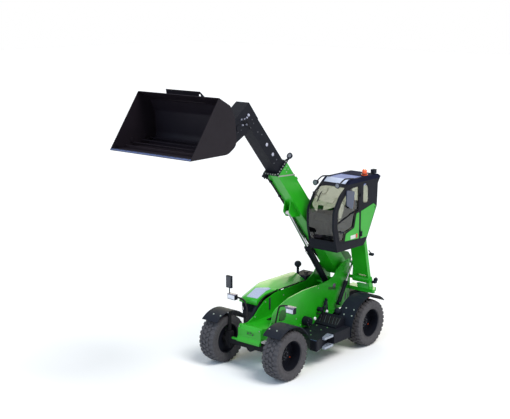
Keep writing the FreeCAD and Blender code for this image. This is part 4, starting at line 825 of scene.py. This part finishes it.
class HANDLER_OT_hood(bpy.types.Operator):
    """Air inlet, seals, grille slats and latches of the hood"""
    bl_idname = "handler.hood"
    bl_label = "Hood details"

    def execute(self, context):
        a, b = at(-1055, -799, 1731), at(-1250, -440, 1730)
        c, d = at(-655, -400, 1612), at(-636, -745, 1600)
        middle = (a + b + c + d) / 4
        bm = copy_of("hood")
        for start, end in ((a, b), (b, c), (c, d), (d, a)):
            outward = (end - start).cross(UP).normalized()
            if outward.dot(start - middle) < 0:
                outward = -outward
            cut_by(bm, start, outward)
        away = [face for face in bm.faces if face.normal.z < FACES_UP]
        bmesh.ops.delete(bm, geom=away, context="FACES")
        join_flat(bm)
        bmesh.ops.solidify(bm, geom=bm.faces[:], thickness=-0.004)
        finished(bm, "hood_inlet", "hood", ("green_plastic", "vent_mesh"))

        line = ((-592, 1440), (-660, 1520), (-800, 1600), (-960, 1655), (-1200, 1680), (-1500, 1690), (-2000, 1694),
                (-2588, 1700))
        bent_pipe("hood_seal", "chassis", 0.026, [(x, -345, z) for x, z in line], SEAL, 10)

        made("grille_slats", "chassis", PLASTIC, 0.002,
             *[(block, (-800, -1040, z), (-786, -360, z + 9)) for z in range(1175, 1445, 30)],
             *[(block, (-799, y, 1150), (-790, y + 8, 1438)) for y in range(-1035, -360, 168)])

        bm = bmesh.new()
        for x in (-1000, -2200):
            block(bm, at(x - 40, -1204, 1376), at(x + 40, -1176, 1416))
            rod(bm, at(x, -1203, 1396), at(x, -1211, 1396), 0.018, sides=18)
        finished(bm, "hood_latches", "hood", PLASTIC, 0.003)
        return {"FINISHED"}


class HANDLER_OT_frame_details(bpy.types.Operator):
    """Screws, pin end, sheets of painted shade, bracket, couplers and pipes of the main frame"""
    bl_idname = "handler.frame_details"
    bl_label = "Frame details"

    def execute(self, context):
        made("frame_screws", "chassis", BOLTS, 0,
             *[(bolt, (x, 345, z), LEFT, 0.022) for x, z in ((-1320, 1064), (-1490, 860), (-2250, 1680),
              (-1100, 900))],
             *[(bolt, (x, -315, z), LEFT, 0.022) for x, z in ((-466, 1188), (-882, 1488), (-1620, 1507),
              (-2628, 1488))],
             *[(bolt, (125, y, z), FORWARD, 0.02) for y in (-330, 330) for z in (770, 1090)])

        made("frame_pin_end", "chassis", ("bare_steel", "purple_pin"), 0.002,
             (rod, (-2952, 344, 1599), (-2952, 356, 1599), 0.062, 0.058),
             (rod, (-2952, 355, 1599), (-2952, 368, 1599), 0.036, 0.032))

        # a thin dark sheet on the plate: painted shade of the slot's opening
        made("frame_slot_shade_sheet", "chassis", PURPLE, 0.002,
             (block, (-3506, 343, 1085), (-3454, 347, 1295), tilted(-14)))

        # thin dark green sheets on the left plate: painted shade of recesses in the frame
        bm = bmesh.new()
        octagon = Matrix.Translation(at(-765, 345.5, 1296)) @ Matrix.Rotation(math.radians(90), 4, "X")
        bmesh.ops.create_cone(bm, cap_ends=True, segments=8, radius1=0.155, radius2=0.155, depth=0.004,
                              matrix=octagon @ Matrix.Rotation(math.radians(22.5), 4, "Z"))
        slab(bm, at(-2690, 346, 1585), at(-3035, 346, 1500), 0.004, 0.075, LEFT)
        finished(bm, "frame_recess_shade_sheets", "chassis", ("green_paint", "painted_shade_green"), 0.002)

        made("trough_bracket", "chassis", PURPLE, 0.003, (block, (-1075, -313, 1255), (-1015, -300, 1575)),
             *[(bolt, (-1045, -300, z), LEFT, 0.024) for z in (1300, 1415, 1530)])

        bm = bmesh.new()
        for y, z in ((-40, 970), (40, 985), (110, 955)):
            rod(bm, at(96, y, z), at(140, y, z), 0.014, 0.012, sides=14)
            rod(bm, at(136, y, z), at(142, y, z), 0.02, 0.018, sides=14)
        finished(bm, "front_couplers", "chassis", PURPLE, 0.002)

        for number, y in enumerate((-110, -60, 60, 110)):
            bent_pipe("trough_pipe_%d" % (number + 1), "chassis", sizes().pipe,
                      [(-700, y, 1110), (-900, y, 1112), (-1500, y, 1112), (-2300, y, 1112), (-2700, y, 1112)])
        return {"FINISHED"}


class HANDLER_OT_platform(bpy.types.Operator):
    """Deck screws and grip, ramp ribs, step treads, guard, filters and pipes beside the cab"""
    bl_idname = "handler.platform"
    bl_label = "Platform details"

    def execute(self, context):
        made("deck_screws", "chassis", ("bare_steel", "zinc_green"), 0,
             *[(bolt, (x, y, 760), UP, 0.026) for x, y in ((-1745, 437), (-1980, 509), (-1513, 664), (-1752, 821),
              (-1266, 862), (-2000, 834))])

        made("deck_grip", "chassis", BLACK, 0.001,
             *[(slab, (x, y, 762), (x + 26, y + 16, 762), 0.008, 0.004) for x in range(-1600, -2001, -50)
              for y in range(700, 941, 60)])

        made("ramp_ribs", "chassis", ("dark_paint", "rib_grey"), 0.003,
             *[(slab, (-2350, y, 959), (-2140, min(y + 85, 1035), 832), 0.014, 0.016) for y in (398, 545, 680, 800,
              892, 1000)])
        # dark strips between the ribs: painted shade inside the ramp's slots
        made("ramp_slot_shade", "chassis", SEAL, 0.002,
             *[(slab, (-2350, y, 957), (-2140, y + 85, 830), 0.04, 0.01) for y in (470, 610, 740, 846, 946)])

        made("step_grip", "chassis", ("bare_steel", "step_steel"), 0.001,
             *[(slab, (x, 1085, z - 4), (x, 1215, z - 4), 0.02, 0.006, FORWARD) for z in (504, 751)
              for x in range(-1665, -1376, 48)])

        apex = at(-2500, 420, 1350)
        made("hose_guard", "chassis", ("dark_paint", "black_plastic"), 0.004,
             (slab, (-2330, 420, 985), apex, 0.03, 0.05, FORWARD),
             (slab, (-2560, 420, 990), apex, 0.03, 0.05, FORWARD),
             (rod, apex - Vector((0.02, 0, 0.05)), apex + Vector((0.02, 0, 0.01)), 0.04, 0.025),
             (rod, (-2240, 360, 1120), (-2240, 470, 1120), 0.06, 0.06),
             (rod, (-2240, 470, 1120), (-2240, 486, 1120), 0.045, 0.03), (ball, (-2555, 760, 1062), 0.088),
             (rod, (-2555, 760, 985), (-2555, 760, 1040), 0.05, 0.06))

        made("guard_strip", "chassis", ("bare_steel", "rib_grey"), 0.003,
             (slab, (-2445, 452, 1035), (-2495, 452, 1290), 0.02, 0.03, FORWARD))
        made("filter_caps", "chassis", ("bare_steel", "lens_white"), 0.002, (ball, (-2470, 470, 1020), 0.04),
             (rod, (-1853, 535, 985), (-1853, 560, 985), 0.045, 0.04))

        made("drum_screws", "chassis", ("dark_paint", "zinc_dark"), 0,
             *[(bolt, at(-1660, 535, 940) + offset, LEFT, 0.018) for offset in ring(8, 0.095)])

        for number, (x, z) in enumerate(((-2180, 1010), (-2300, 1075), (-2420, 1120))):
            bent_pipe("valve_pipe_%d" % (number + 1), "chassis", 0.028,
                      [(x, 350, z), (x, 400, z), (x - 40, 440, z - 20), (x - 60, 450, z - 120),
                       (x - 40, 440, z - 200)])

        # a bluish strip along the deck's edge: painted highlight
        made("deck_edge_highlight", "chassis", ("dark_paint", "edge_painted_highlight"), 0.002,
             (slab, (-1000, 1050, 758), (-986, 1246, 758), 0.012, 0.008, FORWARD))
        return {"FINISHED"}


class HANDLER_OT_fenders(bpy.types.Operator):
    """Screws of the four fenders"""
    bl_idname = "handler.fenders"
    bl_label = "Fender details"

    def execute(self, context):
        made("rear_fender_screws", "chassis", BOLTS, 0,
             *[(bolt, (x, side * y, z), Vector(out), 0.028)
              for x, y, z, out in ((-2706, 929, 1145, (0.71, 0, 0.71)), (-2702, 1177, 1142, (0.71, 0, 0.71)),
              (-2590, 941, 1003, (0.83, 0, 0.56)), (-2592, 1185, 1007, (0.83, 0, 0.56))) for side in (-1, 1)])
        for name, side in (("front_left", 1), ("front_right", -1)):
            made(name + "_fender_screws", name + "_hub", BOLTS, 0,
                 *[(bolt, (303, side * y, 1305), Vector((0.41, 0, 0.91)), 0.028) for y in (799, 1033)])
        return {"FINISHED"}


class HANDLER_OT_lamps(bpy.types.Operator):
    """Lenses, shells and brackets of the head and rear lamps"""
    bl_idname = "handler.lamps"
    bl_label = "Lamps"

    def execute(self, context):
        bent_pipe("left_stay_sleeve", "chassis", 0.044,
                  [(-395, 392, 1100), (-395, 440, 1300), (-395, 500, 1540), (-395, 535, 1665), (-420, 650, 1695),
                   (-440, 740, 1698)])
        bent_pipe("right_stay_sleeve", "chassis", 0.044,
                  [(-250, -397, 1090), (-330, -440, 1330), (-360, -545, 1570), (-330, -640, 1650),
                   (-240, -740, 1688)])
        made("left_lens", "chassis", ("clear_glass", "lens_white"), 0.01,
             (block, (-397, 752, 1543), (-386, 968, 1652)))
        made("left_lamp_shell", "chassis", ("black_plastic", "lamp_shell"), 0.008,
             (block, (-520, 725, 1684), (-372, 995, 1700)), (block, (-392, 725, 1650), (-372, 995, 1686)))
        made("right_lens", "chassis", ("clear_glass", "lens_white"), 0.01,
             (block, (-172, -970, 1622), (-161, -750, 1733)))
        made("right_lamp_shell", "chassis", ("black_plastic", "lamp_shell"), 0.006,
             (block, (-290, -995, 1740), (-150, -725, 1754)))
        made("front_mirror_glass", "chassis", ("clear_glass", "mirror_dark"), 0.002,
             (block, (-182, -1035, 1915), (-176, -880, 2200)))

        made("bracket_lamp", "chassis", PLASTIC, 0.006, (block, (-3800, 1058, 1630), (-3700, 1150, 1700)),
             (rod, (-3830, 1100, 1720), (-3760, 1100, 1720), 0.055, 0.045),
             (block, (-3690, 1058, 1640), (-3660, 1075, 1690)))
        made("arm_lamp", "cab_arm", PLASTIC, 0.006, (slab, (-3560, 1018, 2560), (-3660, 1030, 2450), 0.03, 0.02),
             (block, (-3720, 960, 2400), (-3640, 1090, 2455), tilted(20)))
        return {"FINISHED"}


def loose_part(node, centre, reach, keep=True):
    """A copy of the faces of a CAD node that lie within reach of a centre, or of all the others."""
    bm = copy_of(node)
    unwanted = [face for face in bm.faces if ((face.calc_center_median() - centre).length < reach) != keep]
    bmesh.ops.delete(bm, geom=unwanted, context="FACES")
    join_flat(bm)
    return bm


def cushion(name, low, high, turn, crown, channels):
    """A crowned, closed pad between two corners, with its sides pulled in and sewn channels across."""
    bm = bmesh.new()
    bmesh.ops.create_cube(bm, size=2.0)
    bmesh.ops.subdivide_edges(bm, edges=bm.edges[:], cuts=15, use_grid_fill=True)
    half = (high - low) / 2
    middle = (high + low) / 2
    for corner in bm.verts:
        x, y, z = corner.co
        edge = min(1.0, (1 - x * x) * (1 - y * y) * 2.2)
        swell = crown * edge ** 0.6
        groove = sum(math.exp(-((x - channel) / 0.05) ** 2) for channel in channels)
        side_groove = math.exp(-((abs(y) - 0.62) / 0.045) ** 2)
        pull_x = 1 - 0.05 * (1 - y * y) * abs(x) ** 3 - 0.04 * z * z
        pull_y = 1 - 0.05 * (1 - x * x) * abs(y) ** 3 - 0.04 * z * z
        lift = (swell - 0.012 * min(1.0, groove + side_groove) * edge) if z > 0 else 0.0
        corner.co = Vector((x * half.x * pull_x, y * half.y * pull_y, z * (half.z - crown) + lift))
    bmesh.ops.smooth_vert(bm, verts=bm.verts[:], factor=0.3, use_axis_x=True, use_axis_y=True, use_axis_z=True)
    bmesh.ops.transform(bm, matrix=Matrix.Translation(middle) @ turn, verts=bm.verts[:])
    piece = finished(bm, name, "cab", ("seat_cloth", "seat_cloth"), 0, 80)
    smooth = piece.modifiers.new("soft", "SUBSURF")
    smooth.levels = 1
    smooth.render_levels = 1
    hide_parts("seat")


class HANDLER_OT_seat(bpy.types.Operator):
    """Seat cushion, back and headrest with sewn channels, and the belt"""
    bl_idname = "handler.seat"
    bl_label = "Seat"

    def execute(self, context):
        level = tilted(-2)
        lean = tilted(-101)
        cushion("seat_cushion", at(-2940, 545, 3238), at(-2490, 1055, 3350), level, 0.022, (-0.45, 0.0, 0.45))
        low, high = Vector((-0.21, -0.25, -0.045)), Vector((0.21, 0.25, 0.045))
        middle = at(-3008, 800, 3575)
        cushion("seat_back", middle + low, middle + high, lean, 0.02, (-0.5, -0.1, 0.3))
        low, high = Vector((-0.07, -0.13, -0.035)), Vector((0.07, 0.13, 0.035))
        middle = at(-3052, 800, 3815)
        cushion("seat_headrest", middle + low, middle + high, lean, 0.016, ())

        made("seat_belt", "cab", ("seat_cloth", "belt_red"), 0.001,
             (slab, (-2856, 1000, 4083), (-2868, 1004, 3712), 0.05, 0.004, FORWARD),
             (slab, (-2868, 1004, 3714), (-2960, 1050, 3500), 0.05, 0.004, FORWARD),
             (block, (-2890, 992, 3940), (-2822, 1008, 3975)))
        return {"FINISHED"}


class HANDLER_OT_cab(bpy.types.Operator):
    """Lamps, beacon, aerial, wiper, seals, console and plates of the cab"""
    bl_idname = "handler.cab"
    bl_label = "Cab details"

    def execute(self, context):
        # the skylight is painted bluish and the roof's front glass pale: painted reflection
        sky = at(-2735, 800, 4600)
        piece = finished(loose_part("cab_glass", sky, 0.55), "cab_skylight", "cab", ("clear_glass", "skylight_painted_reflection"))
        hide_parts("cab_glass")
        bm = loose_part("cab_glass", sky, 0.55, keep=False)
        piece = finished(bm, "cab_panes", "cab", ("clear_glass", "clear_glass"))
        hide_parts("cab_glass")
        made("roof_front_glass", "cab", ("clear_glass", "roof_glass_painted_reflection"), 0.001,
             (slab, (-2435, 785, 4639), (-2290, 785, 4535), 0.67, 0.004))

        beacon_place = at(-3190, 1080, 4720)
        bm = loose_part("cab_lights", beacon_place, 0.13)
        piece = finished(bm, "cab_beacon", "cab", ("clear_glass", "beacon_orange"))
        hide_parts("cab_lights")
        made("cab_beacon_base", "cab", PLASTIC, 0.004,
             (rod, (-3190, 1080, 4638), (-3190, 1080, 4690), 0.073, 0.069))
        bm = loose_part("cab_lights", beacon_place, 0.13, keep=False)
        piece = finished(bm, "cab_lamp_bodies", "cab", PLASTIC, 0.004)
        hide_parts("cab_lights")

        bm = bmesh.new()
        for y in (500, 1190):
            rod(bm, at(-1945, y, 4566), at(-1850, y, 4566), 0.05, 0.076)
            rod(bm, at(-1850, y, 4566), at(-1842, y, 4566), 0.076, 0.07)
        finished(bm, "cab_lamp_shells", "cab", PLASTIC, 0.004)
        for number, y in enumerate((500, 1205)):
            bent_pipe("cab_lamp_stay_%d" % (number + 1), "cab", 0.036,
                      [(-2520, y, 4652), (-2180, y, 4702), (-2060, y, 4665), (-1960, y, 4612), (-1925, y, 4572)])
        made("cab_lamp_lenses", "cab", ("clear_glass", "lamp_glass"), 0.002,
             *[(rod, (-1843, y, 4566), (-1837, y, 4566), 0.056, 0.05) for y in (500, 1190)],
             (block, (-3545, 1132, 4675), (-3539, 1208, 4755)))

        made("cab_aerial", "cab", ("dark_paint", "strap_grey"), 0,
             (rod, (-3400, 410, 4638), (-3400, 410, 4662), 0.02, 0.014),
             (rod, (-3400, 410, 4660), (-3405, 410, 5020), 0.0035, 0.002, 8))

        made("cab_wiper", "cab", SEAL, 0.003, (slab, (-1800, 612, 4100), (-1918, 612, 4270), 0.022, 0.02),
             (slab, (-1914, 612, 4274), (-1985, 612, 4325), 0.022, 0.02),
             (slab, (-1918, 395, 4290), (-1868, 612, 4210), 0.014, 0.02, UP),
             (rod, (-1935, 395, 4290), (-1905, 395, 4300), 0.02, 0.018))

        # a near-black sheet inside the cab's right wall: painted shade of the interior
        bm = bmesh.new()
        lining = [(-1740, 3130), (-1716, 3480), (-1716, 3790), (-1900, 3800), (-2300, 3760), (-3000, 3760),
                  (-3000, 3130)]
        bm.faces.new([bm.verts.new(at(x, 416, z)) for x, z in lining])
        bmesh.ops.solidify(bm, geom=bm.faces[:], thickness=0.008)
        finished(bm, "cab_shade_lining", "cab", ("black_plastic", "cab_shade_lining"), 0.002)
        # the dashboard wears the same near-black painted shade
        made("cab_dashboard", "cab", ("black_plastic", "cab_shade_lining"), 0.012,
             (block, (-2060, 440, 3560), (-1960, 900, 3740), tilted(-24)),
             (block, (-2035, 560, 3740), (-2015, 700, 3840), tilted(-24)))
        made("cab_console", "cab", PLASTIC, 0.012, (block, (-2870, 422, 3060), (-2350, 520, 3440)),
             (block, (-2120, 420, 3700), (-2060, 560, 3940), tilted(-18)),
             (rod, (-2500, 460, 3440), (-2480, 460, 3520), 0.02, 0.012), (ball, (-2476, 460, 3545), 0.03, 16))

        made("door_plate", "cab_door", ("bare_steel", "number_plate"), 0.001,
             (block, (-2618, 1235.5, 3098), (-2400, 1238, 3196)))
        made("door_reflector", "cab_door", ("clear_glass", "reflector_red"), 0.002,
             (block, (-2702, 1235.5, 3100), (-2636, 1240, 3206)))
        made("cab_hinge_cover", "cab", PLASTIC, 0.003, (block, (-2905, 1233, 3100), (-2830, 1252, 3235)),
             (bolt, (-2868, 1252, 3135), LEFT, 0.024), (bolt, (-2868, 1252, 3200), LEFT, 0.024),
             (rod, (-3480, 1233, 3780), (-3480, 1240, 3780), 0.022, 0.02))

        made("door_handle", "cab_door", PLASTIC, 0.004,
             *[(rod, (along, 1228, z), (along, 1244, z), 0.018, 0.016, 16) for along, z in ((-2060, 3350),
              (-2010, 3352))], (block, (-2080, 1240, 3330), (-1930, 1252, 3372)))

        outline = [(-1925, 3125), (-1822, 3500), (-1822, 3875), (-2040, 4200), (-2390, 4425), (-2742, 4440),
                   (-2742, 3790), (-2615, 3765), (-2535, 3405), (-2165, 3310), (-2125, 3118), (-1925, 3125)]
        points = []
        for (x, z), (far_x, far_z) in zip(outline, outline[1:]):
            points += [(x + (far_x - x) * part, 1230, z + (far_z - z) * part) for part in (0.08, 0.92)]
        points.append(points[0])
        bent_pipe("door_seal", "cab_door", 0.014, points, SEAL, 4)
        return {"FINISHED"}


LIFT_FOOT = at(-3080, 0, 1590)
LIFT_EYE = on_boom(2701, 0, -385)
CAB_LIFT_FOOT = at(-3028, 450, 1117)
CAB_LIFT_EYE = at(-3639, 450, 2139)


class HANDLER_OT_cylinders(bpy.types.Operator):
    """Glands, ports and pipes of the lift cylinders"""
    bl_idname = "handler.cylinders"
    bl_label = "Cylinders"

    def execute(self, context):
        for name, foot, eye, radius, length in (("lift_barrel", LIFT_FOOT, LIFT_EYE, 0.082, 1.46),
                                                ("cab_lift_barrel", CAB_LIFT_FOOT, CAB_LIFT_EYE, 0.052, 0.63)):
            along = (eye - foot).normalized()
            below = along.cross(LEFT).normalized()
            if below.x < 0:
                below = -below
            bm = bmesh.new()
            rim = radius + 0.008
            inner = radius - 0.001
            spun(bm, [(length - 0.07, inner), (length - 0.07, rim), (length - 0.004, rim), (length - 0.004, inner)],
                 foot, along, 40)
            spun(bm, [(0.14, inner), (0.14, rim - 0.003), (0.17, rim - 0.003), (0.17, inner)], foot, along, 40)
            for part in (length - 0.05, 0.2):
                port = foot + along * part + below * radius
                rod(bm, port - below * 0.004, port + below * 0.03, 0.02, 0.018, sides=16)
            finished(bm, name + "_gland", name, BLACK, 0.002)
            start = foot + along * (length - 0.05) + below * (radius + 0.028)
            points = [start, start + below * 0.018, start + below * 0.02 - along * 0.06]
            points += [foot + along * part + below * (radius + 0.02) for part in (length - 0.2, length * 0.5, 0.34)]
            bent_pipe(name + "_pipe", name, 0.016, points)
        return {"FINISHED"}


class HANDLER_OT_rear(bpy.types.Operator):
    """Tank cap, counterweight screws and rear lamps"""
    bl_idname = "handler.rear"
    bl_label = "Rear details"

    def execute(self, context):
        made("counterweight_screws", "chassis", DARK_BOLTS, 0,
             *[(bolt, (-4165, side * 620, z), LEFT * side, 0.034) for side in (-1, 1) for z in (760, 1140)])
        made("rear_lamps", "chassis", ("clear_glass", "reflector_red"), 0.003,
             *[(block, (-4240, side * 622 - 4, 1010), (-4140, side * 622 + 4, 1060)) for side in (-1, 1)])
        made("tank_cap", "chassis", PLASTIC, 0.002, (rod, (-2800, -480, 1830), (-2800, -480, 1862), 0.06, 0.056),
             *[(rod, place - UP * 0.012, place + UP * 0.014, 0.007, None, 8)
              for place in [at(-2800, -480, 1846) + offset for offset in ring(6, 0.058, axis="Z")]])
        made("housing_louvres", "chassis", PLASTIC, 0.002,
             *[(block, (x, -1224, 900), (x + 40, -1219, 1060)) for x in range(-1700, -1000, 70)])
        return {"FINISHED"}


class HANDLER_PT_panel(bpy.types.Panel):
    """Lists the pieces that can be made"""
    bl_label = "Handler"
    bl_idname = "HANDLER_PT_panel"
    bl_space_type = "VIEW_3D"
    bl_region_type = "UI"
    bl_category = "Handler"

    def draw(self, context):
        for operator in OPERATORS:
            self.layout.operator(operator.bl_idname)


OPERATORS = (HANDLER_OT_stage, HANDLER_OT_plates, HANDLER_OT_tyres, HANDLER_OT_wheels, HANDLER_OT_bucket,
             HANDLER_OT_boom, HANDLER_OT_head, HANDLER_OT_hood, HANDLER_OT_frame_details, HANDLER_OT_platform,
             HANDLER_OT_fenders, HANDLER_OT_lamps, HANDLER_OT_seat, HANDLER_OT_cab, HANDLER_OT_cylinders,
             HANDLER_OT_rear)
CLASSES = (HandlerColours, HandlerSizes) + OPERATORS + (HANDLER_PT_panel,)


def register():
    for cls in CLASSES:
        bpy.utils.register_class(cls)
    bpy.types.Scene.handler_colours = PointerProperty(type=HandlerColours)
    bpy.types.Scene.handler_sizes = PointerProperty(type=HandlerSizes)


def unregister():
    del bpy.types.Scene.handler_sizes
    del bpy.types.Scene.handler_colours
    for cls in reversed(CLASSES):
        bpy.utils.unregister_class(cls)


def main():
    register()
    make_materials()
    bpy.ops.handler.stage()
    bpy.ops.handler.plates()
    bpy.ops.handler.tyres()
    bpy.ops.handler.wheels()
    bpy.ops.handler.bucket()
    bpy.ops.handler.boom()
    bpy.ops.handler.head()
    bpy.ops.handler.hood()
    bpy.ops.handler.frame_details()
    bpy.ops.handler.platform()
    bpy.ops.handler.fenders()
    bpy.ops.handler.lamps()
    bpy.ops.handler.seat()
    bpy.ops.handler.cab()
    bpy.ops.handler.cylinders()
    bpy.ops.handler.rear()


if __name__ == "__main__":
    main()
